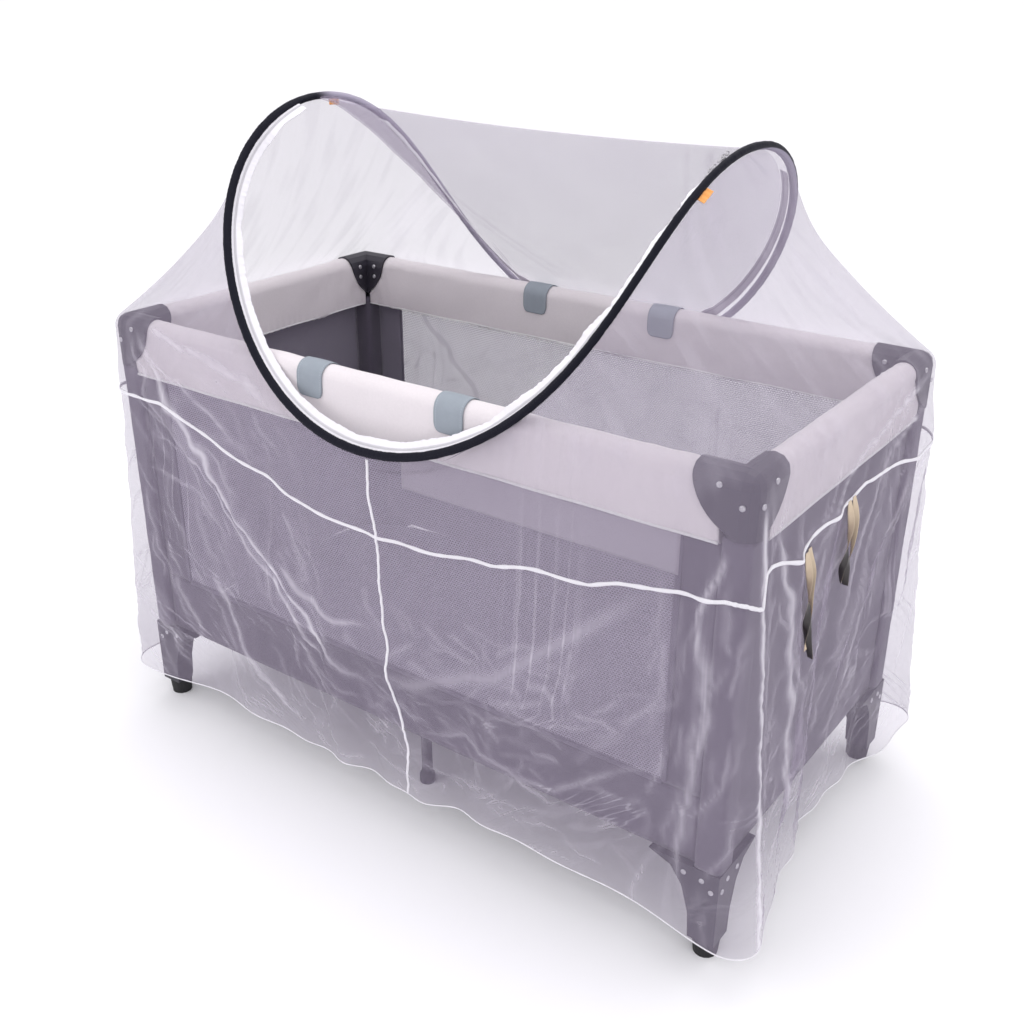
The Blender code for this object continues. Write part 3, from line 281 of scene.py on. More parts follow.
class NetSettings(PropertyGroup):
    """Sizes and colours of the net and what is sewn on it."""
    # The net colour is painted shade: the net's white thread darkened to the grey it shows against the backdrop.
    colour: colour_setting("Net colour", "Colour of the net's thread", (0.38, 0.325, 0.435))
    cover: FloatProperty(
        name="Cover", description="Share of the light that one layer of net stops", subtype="FACTOR",
        min=0, max=1, default=0.28)
    thread_pitch: length_setting("Thread pitch", "Distance between the net's threads", 0.0016)
    seam_width: length_setting("Seam width", "Half width of the rolled seams", 0.0030)
    binding_colour: colour_setting("Binding colour", "Colour of the hoop's woven binding", (0.006, 0.006, 0.013))
    binding_width: length_setting("Binding width", "Half width of the binding along the cloth", 0.0068)
    binding_depth: length_setting("Binding depth", "Half thickness of the binding", 0.0056)
    tape_colour: colour_setting("Tape colour", "Colour of the zip tape and seams", (0.86, 0.84, 0.89))
    ribbon_light: colour_setting("Ribbon face", "Colour of the ties' satin face", (0.66, 0.53, 0.38))
    # The ties' back colour is painted shade: the dark that the twisted satin shows where it is in shadow.
    ribbon_dark: colour_setting("Ribbon back", "Colour of the ties' dark back", (0.035, 0.030, 0.030))
    tab_colour: colour_setting("Tab colour", "Colour of the two plain tabs", (0.90, 0.36, 0.07))


class CotSettings(PropertyGroup):
    """Sizes and colours of the cot."""
    rail_colour: colour_setting("Rail fabric", "Colour of the padded rails' cover", (0.90, 0.84, 0.87))
    wall_colour: colour_setting("Wall fabric", "Colour of the dark walls and posts", (0.125, 0.108, 0.150))
    mesh_colour: colour_setting("Window mesh", "Colour of the mesh windows", (0.42, 0.385, 0.47))
    mesh_pitch: length_setting("Mesh pitch", "Width of one cell of the window mesh", 0.0052)
    strap_colour: colour_setting("Strap colour", "Colour of the rail straps", (0.33, 0.37, 0.42))
    plastic_colour: colour_setting("Plastic", "Colour of the caps and foot brackets", (0.036, 0.033, 0.046))
    lining_colour: colour_setting("Wall lining", "Colour of the walls' inner side", (0.27, 0.245, 0.31))
    door_colour: colour_setting("Door strip", "Colour of the pale strip over the side door", (0.46, 0.42, 0.49))


class StageSettings(PropertyGroup):
    """Floor, backdrop and light."""
    floor_colour: colour_setting("Floor", "Colour of the floor", (0.97, 0.965, 0.985))
    backdrop_strength: FloatProperty(
        name="Backdrop light", description="Brightness of the pale backdrop", min=0, default=1.08)
    key_strength: FloatProperty(
        name="Key light", description="Power of the large light overhead", subtype="POWER", unit="POWER",
        default=60.0)


# Meshes

def surface(name, grid, closed=False, uv=None, attributes=None, merge=False, outward=None):
    """A mesh of quads between neighbouring points of one grid of rows and columns, or of several alike.

    closed joins the last column to the first. uv is a pair of arrays, in metres, with one column more where
    the grid is closed. outward is a direction that the faces have to look in on average; with merge, for
    closed shells, equal points are joined and the shell is turned inside in if its volume comes out negative.
    """
    grid = np.asarray(grid, float)
    grid = grid[None] if grid.ndim == 3 else grid
    count, rows, columns = grid.shape[:3]
    index = np.arange(rows * columns).reshape(rows, columns)
    beside = np.roll(index, -1, axis=1)
    place = np.arange(columns)
    if not closed:
        index, beside, place = index[:, :-1], beside[:, :-1], place[:-1]
    quads = np.stack([index[:-1], index[1:], beside[1:], beside[:-1]], axis=-1).reshape(-1, 4)
    if outward is not None:
        falling = grid[0, 1:, 1:] - grid[0, :-1, 1:]
        running = grid[0, :-1, 1:] - grid[0, :-1, :-1]
        if (np.cross(falling, running) @ np.array(outward)).sum() < 0:
            quads = quads[:, ::-1]
    if merge:
        flat = grid[0].reshape(-1, 3)
        corners = flat[quads] - flat.mean(axis=0)
        volume = np.einsum("ij,ij->i", np.cross(corners[:, 0], corners[:, 1]), corners[:, 2]).sum()
        volume += np.einsum("ij,ij->i", np.cross(corners[:, 0], corners[:, 2]), corners[:, 3]).sum()
        quads = quads[:, ::-1] if volume < 0 else quads
    every = (quads[None] + (np.arange(count) * rows * columns)[:, None, None]).reshape(-1, 4)
    points = grid.reshape(-1, 3) + WHOLE_SHIFT
    mesh = bpy.data.meshes.new(name)
    mesh.vertices.add(len(points))
    mesh.vertices.foreach_set("co", points.astype(np.float32).ravel())
    mesh.loops.add(every.size)
    mesh.loops.foreach_set("vertex_index", every.astype(np.int32).ravel())
    mesh.polygons.add(len(every))
    mesh.polygons.foreach_set("loop_start", np.arange(0, every.size, 4, dtype=np.int32))
    mesh.polygons.foreach_set("use_smooth", np.ones(len(every), bool))
    mesh.update(calc_edges=True)
    if uv is not None:
        across, down = (np.broadcast_to(a, (rows, columns + closed)) for a in uv)
        layer = np.stack([across, down], axis=-1)
        r, c = np.divmod(quads, columns)
        wrap = (c == 0) & ((c.max(axis=1) == columns - 1)[:, None]) if closed else np.zeros_like(c, bool)
        c = np.where(wrap, columns, c)
        chosen = np.broadcast_to(layer[r, c], (count, *quads.shape, 2))
        mesh.uv_layers.new(name="cloth").data.foreach_set("uv", chosen.astype(np.float32).ravel())
    for key, values in (attributes or {}).items():
        values = np.broadcast_to(values, (count, rows, columns))
        mesh.attributes.new(key, "FLOAT", "POINT").data.foreach_set("value", values.astype(np.float32).ravel())
    if merge:
        work = bmesh.new()
        work.from_mesh(mesh)
        bmesh.ops.remove_doubles(work, verts=work.verts, dist=0.00001)
        work.to_mesh(mesh)
        work.free()
    made = bpy.data.objects.new(name, mesh)
    bpy.context.scene.collection.objects.link(made)
    return made


def unit(vectors):
    """Each vector divided by its length."""
    return vectors / np.maximum(np.linalg.norm(vectors, axis=-1, keepdims=True), 1e-12)


def cloth_normals(grid):
    """Normals of a grid whose rows run down and whose columns run on: rows' direction crossed with columns'."""
    return unit(np.cross(np.gradient(grid, axis=0), np.gradient(grid, axis=1)))


def path_frame(path, up):
    """For each point of a path: its side direction, square to the path and to up, and up made square to it."""
    along = unit(np.gradient(path, axis=0))
    side = unit(np.cross(along, np.broadcast_to(up, path.shape)))
    return side, np.cross(side, along)


def distance_along(path):
    """Length of a path up to each of its points."""
    steps = np.linalg.norm(np.diff(path, axis=0), axis=1)
    return np.concatenate([[0.0], np.cumsum(steps)])


def capped(grid):
    """A tube's rings with one more at each end, shrunk to its middle, so that the tube closes in a fan."""
    ends = [np.repeat(grid[[k]].mean(axis=1, keepdims=True), grid.shape[1], axis=1) for k in (0, -1)]
    return np.concatenate([ends[0], grid, ends[1]])


def swept(path, side, up, profile, loop=False):
    """A profile carried along a path: each point is path + side * the profile's first + up * its second.

    An open sweep is closed at both ends. A loop's path runs along the columns.
    """
    grid = path[:, None] + side[:, None] * profile[None, :, :1] + up[:, None] * profile[None, :, 1:2]
    if loop:
        grid = grid.transpose(1, 0, 2)
        return np.concatenate([grid, grid[:1]])
    return capped(grid)


def full_turn(count):
    """Angles spread evenly over one turn."""
    return np.linspace(0, 2 * math.pi, count, endpoint=False)


def squared_circle(turn, power):
    """The unit circle's cosine and sine, each raised to power with its sign kept: below 1 it is squarer."""
    c, s = np.cos(turn), np.sin(turn)
    return np.sign(c) * np.abs(c) ** power, np.sign(s) * np.abs(s) ** power


def round_profile(half_width, half_height, count, power=1.0):
    """An ellipse, or a squarer shape where power is below 1."""
    across, up = squared_circle(full_turn(count), power)
    return np.stack([half_width * across, half_height * up], axis=1)


def thicken(piece, thickness, offset=0.0):
    """Gives a sheet its thickness, half to each side, or all of it outwards with an offset of 1."""
    wall = piece.modifiers.new("thickness", "SOLIDIFY")
    wall.thickness = thickness
    wall.offset = offset
    return wall


def soft_noise(x, y, scale, seed, waves=14):
    """Smooth noise from -1 to 1: a sum of sine waves of about one wavelength in seeded directions."""
    rng = np.random.default_rng(seed)
    total = 0
    for _ in range(waves):
        heading, phase, stretch = rng.uniform(0, 2 * math.pi), rng.uniform(0, 2 * math.pi), rng.uniform(0.6, 1.7)
        k = 2 * math.pi * stretch / scale
        total = total + np.sin(k * (x * math.cos(heading) + y * math.sin(heading)) + phase)
    return total / math.sqrt(waves * 1.4)


def smooth_step(value):
    """0 below 0 and 1 above 1, with v * v * (3 - 2 * v) between."""
    value = np.clip(value, 0, 1)
    return value * value * (3 - 2 * value)


# Finishes

class Signal:
    """A number that varies over a surface. Arithmetic written on it adds the Math nodes that work it out."""

    def __init__(self, tree, socket):
        self.tree = tree
        self.socket = socket

    def math(self, operation, *others, swap=False):
        node = self.tree.nodes.new("ShaderNodeMath")
        node.operation = operation
        values = [self, *others]
        values = values[::-1] if swap else values
        for socket, value in zip(node.inputs, values):
            if isinstance(value, Signal):
                self.tree.links.new(value.socket, socket)
            else:
                socket.default_value = value
        return Signal(self.tree, node.outputs[0])

    def __add__(self, other):
        return self.math("ADD", other)

    def __sub__(self, other):
        return self.math("SUBTRACT", other)

    def __rsub__(self, other):
        return self.math("SUBTRACT", other, swap=True)

    def __mul__(self, other):
        return self.math("MULTIPLY", other)

    def __truediv__(self, other):
        return self.math("DIVIDE", other)

    def __rtruediv__(self, other):
        return self.math("DIVIDE", other, swap=True)

    def __pow__(self, other):
        return self.math("POWER", other)

    def __abs__(self):
        return self.math("ABSOLUTE")

    __radd__ = __add__
    __rmul__ = __mul__

    def wave(self, length):
        """A sine of this number with the given wavelength, from -1 to 1."""
        return (self * (2 * math.pi / length)).math("SINE")

    def ribs(self, length):
        """The same sine from 0 to 1."""
        return self.wave(length) * 0.5 + 0.5

    def at_most(self, other):
        return self.math("MINIMUM", other)

    def at_least(self, other):
        return self.math("MAXIMUM", other)

    def between(self, low, high):
        """0 at low and 1 at high, with a smooth step between them."""
        node = self.tree.nodes.new("ShaderNodeMapRange")
        node.interpolation_type = "SMOOTHSTEP"
        self.tree.links.new(self.socket, node.inputs["Value"])
        node.inputs["From Min"].default_value = low
        node.inputs["From Max"].default_value = high
        return Signal(self.tree, node.outputs["Result"])


class Finish:
    """One material while it is being built, on the nodes of its Principled shader."""

    def __init__(self, name, roughness, **constants):
        self.material = bpy.data.materials.new(name + "_finish")
        self.material.use_nodes = True
        self.tree = self.material.node_tree
        self.shader = self.tree.nodes["Principled BSDF"]
        self.shader.inputs["Roughness"].default_value = roughness
        for key, value in constants.items():
            self.shader.inputs[key.replace("_", " ")].default_value = value

    def node(self, kind, settings=None, sockets=None):
        """Any node: its type, its settings, then the values or links of its sockets by name or number."""
        made = self.tree.nodes.new(kind)
        for key, value in (settings or {}).items():
            setattr(made, key, value)
        for key, value in (sockets or {}).items():
            value = value.socket if isinstance(value, Signal) else value
            if isinstance(value, bpy.types.NodeSocket):
                self.tree.links.new(value, made.inputs[key])
            else:
                made.inputs[key].default_value = value
        return made

    def place(self, source="Object"):
        return self.node("ShaderNodeTexCoord").outputs[source]

    def split(self, vector):
        parts = self.node("ShaderNodeSeparateXYZ", None, {0: vector}).outputs
        return [Signal(self.tree, part) for part in parts]

    def cloth(self):
        """Distances across a piece of cloth and along it, in metres, from its UVs."""
        return self.split(self.place("UV"))[:2]

    def attribute(self, name):
        return Signal(self.tree, self.node("ShaderNodeAttribute", {"attribute_name": name}).outputs["Fac"])

    def stretch(self, vector, scale, turn=(0, 0, 0)):
        return self.node("ShaderNodeMapping", None, {0: vector, "Scale": scale, "Rotation": turn}).outputs[0]

    def noise(self, vector, scale, detail=2.0, roughness=0.5, distortion=0.0):
        sockets = {
            "Vector": vector, "Scale": scale, "Detail": detail, "Roughness": roughness, "Distortion": distortion,
        }
        return Signal(self.tree, self.node("ShaderNodeTexNoise", None, sockets).outputs["Fac"])

    def blend(self, factor, first, second):
        """A colour from first to second by a factor."""
        first, second = ((*c, 1.0) if isinstance(c, tuple) else c for c in (first, second))
        return self.node("ShaderNodeMix", {"data_type": "RGBA"}, {0: factor, 6: first, 7: second}).outputs[2]

    def toned(self, factor, colour, tone):
        """A colour from the given one to its darker or lighter shade by a factor."""
        return self.blend(factor, tuple(colour), shade(colour, tone))

    def feed(self, **inputs):
        for key, value in inputs.items():
            value = value.socket if isinstance(value, Signal) else value
            socket = self.shader.inputs[key.replace("_", " ")]
            if isinstance(value, bpy.types.NodeSocket):
                self.tree.links.new(value, socket)
            else:
                socket.default_value = (*value, 1.0) if isinstance(value, tuple) else value
        return self

    def relief(self, height, depth):
        """Bump from a height from 0 to 1 that stands depth metres."""
        bump = self.node("ShaderNodeBump", None, {"Height": height, "Distance": depth, "Strength": 1.0})
        self.tree.links.new(bump.outputs["Normal"], self.shader.inputs["Normal"])
        return self


def shade(colour, factor):
    """A colour with each of its parts multiplied by factor, up to 1."""
    return tuple(min(1.0, c * factor) for c in colour)


def weave(pitch, across, down):
    """A plain weave: the mean of two sets of round threads that cross, from 0 to 1."""
    return (abs(across.wave(pitch)) + abs((down + pitch / 4).wave(pitch))) * 0.5


def stitches(across, along, middle, away, half_width, length, sharpness=4.0):
    """Stitched lines away to both sides of a cloth's middle line, each broken by a wave along it."""
    row = (1 - abs(abs(across - middle) - away) / half_width).at_least(0.0)
    return row * (along.wave(length) * sharpness).at_least(0.0).at_most(1.0)


def net_finish(net):
    """Sheer net: fine threads with holes, closing up where the cloth is creased or doubled. Its colour is
    painted shade: the white thread darkened to the grey it shows.
    """
    made = Finish("net_cloth", 0.55)
    flat = made.place("UV")
    across, down = made.split(flat)[:2]
    crease = made.attribute("crease")
    cover = made.attribute("cover")
    lean = made.attribute("lean")
    patches = made.noise(flat, 5.0, 2.0).between(0.46, 0.66)
    threaded = 0.0
    for turn, share in ((0.75, 1 - lean), (-0.50, lean)):
        turned = made.stretch(flat, (1.0, 1.0, 1.0), (0.0, 0.0, turn))
        field = made.noise(made.stretch(turned, (46.0, 5.0, 1.0)), 1.0, 2.0, 0.45, 0.2)
        threaded = (1 - abs(field - 0.5) * 26.0).at_least(0.0) * share + threaded
    soft = threaded * patches * made.attribute("crumple")
    cloudy = made.noise(flat, 7.0, 2.0)
    threads = weave(net.thread_pitch, across, down)
    # Along these lines the colour goes to near white, a painted highlight on creases, folds and crumples. Their
    # denser cloth also raises Alpha.
    line = (crease + soft * 0.36).at_most(1.0)
    density = cover * (0.88 + cloudy * 0.24) + (threads - 0.5) * 0.03
    made.feed(
        Base_Color=made.blend(line, tuple(net.colour), (0.86, 0.83, 0.90)),
        Alpha=(density + line * 0.46).at_most(0.97),
    )
    made.relief(crease * 0.8 + threads * 0.03, 0.0022)
    return made.material


def seam_finish(net):
    """White rolled seam: thread turned round it in small ribs."""
    made = Finish("net_seam", 0.6)
    across, along = made.cloth()
    ribs = (along + across * 0.6).ribs(0.0021)
    soil = made.noise(made.place(), 60.0, 3.0)
    made.feed(Base_Color=made.toned(soil * 0.35 + ribs * 0.12, net.tape_colour, 0.72))
    made.relief(ribs, 0.0004)
    return made.material


def binding_finish(net):
    """Black woven binding: fine ribs across it, two rows of stitches, a little dust."""
    made = Finish("hoop_binding", 0.62, Specular_IOR_Level=0.12)
    across, along = made.cloth()
    ribs = along.ribs(0.0015)
    lining = made.attribute("lining")
    stitch = stitches(across, along, 0.012, 0.0052, 0.0006, 0.0046)
    dust = made.noise(made.place(), 90.0, 4.0, 0.6).between(0.55, 0.85)
    light = stitch * 0.5 + dust * 0.22 + ribs * 0.06
    colour = made.blend(light, tuple(net.binding_colour), (0.035, 0.035, 0.055))
    made.feed(Base_Color=made.blend(lining, colour, (0.36, 0.33, 0.42)), Roughness=0.55 + dust * 0.2)
    made.relief(ribs * 0.5 + stitch * 0.6, 0.0005)
    return made.material


def tape_finish(net):
    """White herringbone zip tape with the grey line of its nylon coil."""
    made = Finish("zip_tape", 0.62)
    across, along = made.cloth()
    slant = (along + abs(across.wave(0.006)) * 0.0015).ribs(0.0018)
    from_coil = abs(across - 0.0068)
    coil = 1 - from_coil.between(0.0010, 0.0016)
    teeth = along.ribs(0.0014) * coil
    shadow = 1 - from_coil.between(0.0016, 0.0034)
    soil = made.noise(made.place(), 40.0, 3.0)
    tone = made.toned(shadow * 0.55 + soil * 0.18, net.tape_colour, 0.62)
    made.feed(Base_Color=made.blend(teeth * 0.5, tone, (0.42, 0.41, 0.46)))
    made.relief(slant * 0.25 + coil * 0.8 + teeth * 0.4, 0.0006)
    return made.material


def metal_finish(name, tint, roughness):
    """Plated metal with faint brushing and small dull spots."""
    made = Finish(name, roughness, Metallic=1.0)
    brushed = made.noise(made.stretch(made.place(), (40, 40, 900)), 1.0, 2.0)
    spots = made.noise(made.place(), 220.0, 3.0).between(0.5, 0.8)
    made.feed(Base_Color=made.toned(spots, tint, 0.6), Roughness=roughness + brushed * 0.16 + spots * 0.15)
    made.relief(brushed, 0.00008)
    return made.material


def ribbon_finish(net):
    """Satin ribbon: a pale glossy face, a back painted dark as shade, fine ribs across and darker woven edges.
    """
    made = Finish("satin_ribbon", 0.34)
    across, along = made.cloth()
    back = made.attribute("back")
    ribs = along.ribs(0.0009)
    edge = abs(across - 0.5).between(0.40, 0.48)
    worn = made.noise(made.place(), 130.0, 3.0)
    face = made.toned(edge * 0.4 + worn * 0.25, net.ribbon_light, 0.55)
    # back gives the back half of the section the ribbon's painted shade colour.
    made.feed(Base_Color=made.blend(back, face, tuple(net.ribbon_dark)), Roughness=0.28 + worn * 0.2)
    made.relief(ribs, 0.00012)
    return made.material


def tab_finish(net):
    """Plain woven tab with a stitched border."""
    made = Finish("woven_tab", 0.55)
    across, along = made.cloth()
    threads = weave(0.0009, across, along)
    stitch = stitches(across, along, TAB_WIDTH / 2, 0.0032, 0.0004, 0.0026, 3.0)
    made.feed(Base_Color=made.blend(stitch * 0.6 + threads * 0.15, tuple(net.tab_colour), (1.0, 0.72, 0.42)))
    made.relief(threads * 0.4 + stitch * 0.6, 0.0003)
    return made.material


def woven_finish(name, colour, pitch, roughness, soil):
    """Close-woven cover fabric: threads both ways, slow changes of tone, slight soiling."""
    made = Finish(name, roughness, Sheen_Weight=0.25)
    spot = made.place()
    x, y, z = made.split(spot)
    threads = weave(pitch, x + y, z + (y - x) * 0.2)
    slow = made.noise(spot, 5.0, 3.0, 0.6)
    fine = made.noise(spot, 260.0, 3.0, 0.6)
    dark = (slow - 0.35).at_least(0.0) * soil * 1.6 + fine * 0.14 + threads * 0.10
    made.feed(Base_Color=made.toned(dark.at_most(1.0), colour, 0.45), Roughness=roughness - 0.08 + fine * 0.14)
    made.relief(threads * 0.5 + slow * 2.2 + fine * 0.25, 0.0007)
    return made.material


def strap_finish(cot):
    """Grey-blue webbing with ribs along it and a stitched border."""
    made = Finish("strap_webbing", 0.78)
    across, along = made.cloth()
    ribs = across.ribs(0.0022)
    small = along.ribs(0.0013)
    stitch = stitches(across, along, STRAP_WIDTH / 2, STRAP_WIDTH / 2 - 0.0042, 0.0006, 0.0038)
    worn = made.noise(made.place(), 70.0, 3.0)
    base = made.toned(ribs * 0.16 + worn * 0.3, cot.strap_colour, 0.6)
    made.feed(Base_Color=made.blend(stitch * 0.7, base, shade(cot.strap_colour, 1.6)))
    made.relief(ribs * 0.4 + small * 0.3 + stitch * 0.5, 0.0005)
    return made.material


def plastic_finish(cot):
    """Moulded plastic: fine sparked grain, small scuffs that dull it."""
    made = Finish("moulded_plastic", 0.42, Specular_IOR_Level=0.4)
    spot = made.place()
    grain = made.noise(spot, 900.0, 2.0)
    rubbed = made.stretch(spot, (30, 30, 140), (0.5, 0.3, 0.2))
    scuffs = made.noise(rubbed, 1.0, 5.0, 0.65, 0.8).between(0.58, 0.78)
    slow = made.noise(spot, 9.0, 2.0)
    tone = made.toned(slow * 0.5, cot.plastic_colour, 0.72)
    made.feed(
        Base_Color=made.blend(scuffs * 0.25, tone, shade(cot.plastic_colour, 2.6)),
        Roughness=0.36 + grain * 0.1 + scuffs * 0.2,
    )
    made.relief(grain * 0.4 + scuffs * 0.2, 0.0002)
    return made.material


def window_finish(cot):
    """Mesh of small cells in rows, each row half a cell from the next."""
    made = Finish("window_mesh", 0.75)
    x, _, z = made.split(made.place())
    pitch = cot.mesh_pitch
    flat = made.node("ShaderNodeCombineXYZ", None, {0: x, 1: z, 2: 0.0}).outputs[0]
    bricks = made.node("ShaderNodeTexBrick", {"offset": 0.5, "squash": 1.0}, {
        "Vector": flat, "Color1": (0, 0, 0, 1), "Color2": (0, 0, 0, 1), "Mortar": (1, 1, 1, 1), "Scale": 1.0,
        "Mortar Size": pitch * 0.17, "Mortar Smooth": 0.35, "Brick Width": pitch, "Row Height": pitch * 0.72,
    })
    thread = Signal(made.tree, bricks.outputs["Fac"])
    uneven = made.noise(made.place(), 30.0, 3.0)
    made.feed(
        Base_Color=made.toned(uneven * 0.6, cot.mesh_colour, 0.65),
        Alpha=(thread * 0.46 + 0.36 + uneven * 0.06).at_most(1.0),
    )
    made.relief(thread, 0.00015)
    return made.material


def rubber_finish():
    """Black rubber, dusty and slightly pitted."""
    made = Finish("foot_rubber", 0.8)
    spot = made.place()
    pits = made.noise(spot, 420.0, 4.0, 0.6)
    dust = made.noise(spot, 25.0, 4.0, 0.6).between(0.5, 0.8)
    colour = made.blend(dust * 0.35, (0.010, 0.010, 0.012), (0.08, 0.075, 0.08))
    made.feed(Base_Color=colour, Roughness=0.7 + dust * 0.25)
    made.relief(pits, 0.0004)
    return made.material


def floor_finish(stage):
    """Matt pale floor with the faintest change of tone."""
    made = Finish("studio_floor", 0.9, Specular_IOR_Level=0.1)
    slow = made.noise(made.place(), 0.8, 2.0)
    made.feed(Base_Color=made.toned(slow * 0.15, stage.floor_colour, 0.97))
    return made.material


def finish_once(name, build, *values):
    """The named material, built at its first use. Its own ending keeps it apart from the frame's materials."""
    return bpy.data.materials.get(name + "_finish") or build(*values)


def woven_once(name, colour, pitch, roughness, soil):
    return finish_once(name, woven_finish, name, colour, pitch, roughness, soil)


def wall_fabric(cot):
    return woven_once("wall_fabric", cot.wall_colour, 0.0019, 0.85, 0.25)


def dress(made, material, slot, *nodes):
    """Gives a new piece its material, lets it ride, and hides the CAD nodes that it stands for. The slot is not
    used.
    """
    made.data.materials.clear()
    made.data.materials.append(material)
    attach(made, "root")
    if nodes:
        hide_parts(*nodes)
    return made


def refinish(material, *nodes):
    """Gives CAD nodes that stay a better material."""
    for name in nodes:
        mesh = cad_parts[name].data
        mesh.materials.clear()
        mesh.materials.append(material)


# Stage

class COTNET_OT_stage(Operator):
    """Pale floor, plain backdrop, soft lights and the camera at the photograph's angle."""
    bl_idname = "cotnet.stage"
    bl_label = "Stage"

    def execute(self, context):
        stage = context.scene.cotnet_stage
        turn = full_turn(96)
        rings = [0.0, 1.0, 2.5, 6.0, 14.0, 34.0, 90.0]
        grid = np.stack([np.column_stack([r * np.cos(turn), r * np.sin(turn), 0 * turn]) for r in rings])
        floor = surface("studio_floor", grid, closed=True, outward=(0, 0, 1))
        floor.data.materials.append(finish_once("studio_floor", floor_finish, stage))
        world = bpy.data.worlds.new("studio")
        context.scene.world = world
        world.use_nodes = True
        backdrop = world.node_tree.nodes["Background"].inputs
        backdrop["Color"].default_value = (0.985, 0.975, 1.0, 1.0)
        backdrop["Strength"].default_value = stage.backdrop_strength
        lights = (
            ("overhead", (0.4, 0.3, 4.2), (0.0, 0.0, 0.5), 4.5, stage.key_strength),
            ("front_fill", (-2.6, -4.2, 2.2), (0.0, 0.0, 0.6), 3.0, stage.key_strength * 0.35),
        )
        for name, place, target, size, power in lights:
            lamp = bpy.data.lights.new(name, "AREA")
            lamp.shape = "DISK"
            lamp.size = size
            lamp.energy = power
            made = bpy.data.objects.new(name, lamp)
            made.location = place
            made.rotation_euler = (Vector(target) - Vector(place)).to_track_quat("-Z", "Y").to_euler()
            context.scene.collection.objects.link(made)
        self.camera(context.scene)
        context.scene.cycles.transparent_max_bounces = 14
        context.scene.view_settings.view_transform = "Standard"
        return {"FINISHED"}

    def camera(self, scene):
        """The camera's axes from its azimuth, elevation and roll about the cot."""
        level = np.array([math.sin(CAMERA_AZIMUTH), -math.cos(CAMERA_AZIMUTH), 0.0]) * math.cos(CAMERA_ELEVATION)
        back = level + np.array([0.0, 0.0, math.sin(CAMERA_ELEVATION)])
        right = np.array([math.cos(CAMERA_AZIMUTH), math.sin(CAMERA_AZIMUTH), 0.0])
        up = np.cross(back, right)
        c, s = math.cos(CAMERA_ROLL), math.sin(CAMERA_ROLL)
        right, up = c * right + s * up, c * up - s * right
        place = np.array(CAMERA_PLACE) + WHOLE_SHIFT
        lens = bpy.data.cameras.new("camera")
        lens.sensor_width = CAMERA_FILM
        lens.lens = CAMERA_LENS
        lens.clip_start = 0.05
        made = bpy.data.objects.new("camera", lens)
        made.matrix_world = Matrix(np.column_stack([right, up, back, place]).tolist()).to_4x4()
        scene.collection.objects.link(made)
        scene.camera = made


# The hoop and the net's shape, with the same formulas as the frame's solids

def hoop_points(turn):
    """Centre line of the hoop: an ellipse in plan, squared a little, that rises twice round its turn."""
    x = HOOP_X * np.cos(turn) + HOOP_X_SQUARENESS * np.cos(3 * turn)
    y = HOOP_Y * np.sin(turn) + HOOP_Y_SQUARENESS * np.sin(3 * turn) + HOOP_Y_PINCH * np.sin(5 * turn)
    z = HOOP_MEAN_Z + HOOP_RISE * np.cos(2 * turn) + HOOP_TILT_X * np.cos(turn)
    z = z + HOOP_TILT_Y * np.sin(turn) + HOOP_TWIST * np.sin(3 * turn)
    return np.stack([x, y, z], axis=-1)


def square_to_hoop(turn, direction):
    """The part of each direction that is square to the hoop, as a unit vector."""
    along = unit(hoop_points(turn + 0.001) - hoop_points(turn - 0.001))
    return unit(direction - along * (direction * along).sum(axis=1)[:, None])


def skirt_columns(density):
    """For each column: its turn of the hoop, its place in its quarter, and the quarter's two signs."""
    places = np.concatenate([
        np.linspace(0, BEND_START, LONG_COLUMNS * density, endpoint=False),
        np.linspace(BEND_START, BEND_END, BEND_COLUMNS * density, endpoint=False),
        np.linspace(BEND_END, 1, SHORT_COLUMNS * density, endpoint=False),
    ])
    back = np.concatenate([places[1:], [1.0]])[::-1]
    turns, all_places, signs = [], [], []
    quarters = ((0, 1, 1, False), (90, -1, 1, True), (180, -1, -1, False), (270, 1, -1, True))
    for start_degrees, side_x, side_y, from_long in quarters:
        place = places if from_long else back
        fanned = place + FAN * np.sin(2 * math.pi * place)
        turns.append(np.radians(start_degrees + 90 * (fanned if from_long else 1 - fanned)))
        all_places.append(place)
        signs.append(np.tile((side_x, side_y), (len(place), 1)))
    return np.concatenate(turns), np.concatenate(all_places), np.concatenate(signs)


def plan_path(place, signs, half_x, half_y, corner):
    """Plan points on a rounded rectangle and their outward directions, by place in each quarter."""
    along_long = np.clip(place / BEND_START, 0, 1) * (half_x - corner)
    bend = np.clip((place - BEND_START) / (BEND_END - BEND_START), 0, 1) * math.pi / 2
    along_short = np.clip((1 - place) / (1 - BEND_END), 0, 1) * (half_y - corner)
    normal = np.stack([np.sin(bend), np.cos(bend)], axis=1)
    centre = np.stack([along_long, along_short], axis=1)
    return (centre + corner * normal) * signs, normal * signs


def hem_line(place, signs):
    """Plan of the hem: a rounded rectangle that stands out at its corners and draws in at the two ends."""
    plan, normal = plan_path(place, signs, HEM_HALF_X, HEM_HALF_Y, HEM_CORNER)
    half = np.array([HEM_HALF_X, HEM_HALF_Y])
    for flare in HEM_FLARES:
        side = np.array([flare["side_x"], flare["side_y"]])
        away = np.linalg.norm(plan - half * side, axis=1)
        plan = plan + (flare["out"] * np.exp(-((away / flare["reach"]) ** 2)))[:, None] * side * (1.0, 0.3)
    draw = 0.014 * np.exp(-((plan[:, 1] / 0.16) ** 2)) * np.abs(normal[:, 0])
    return plan - draw[:, None] * normal


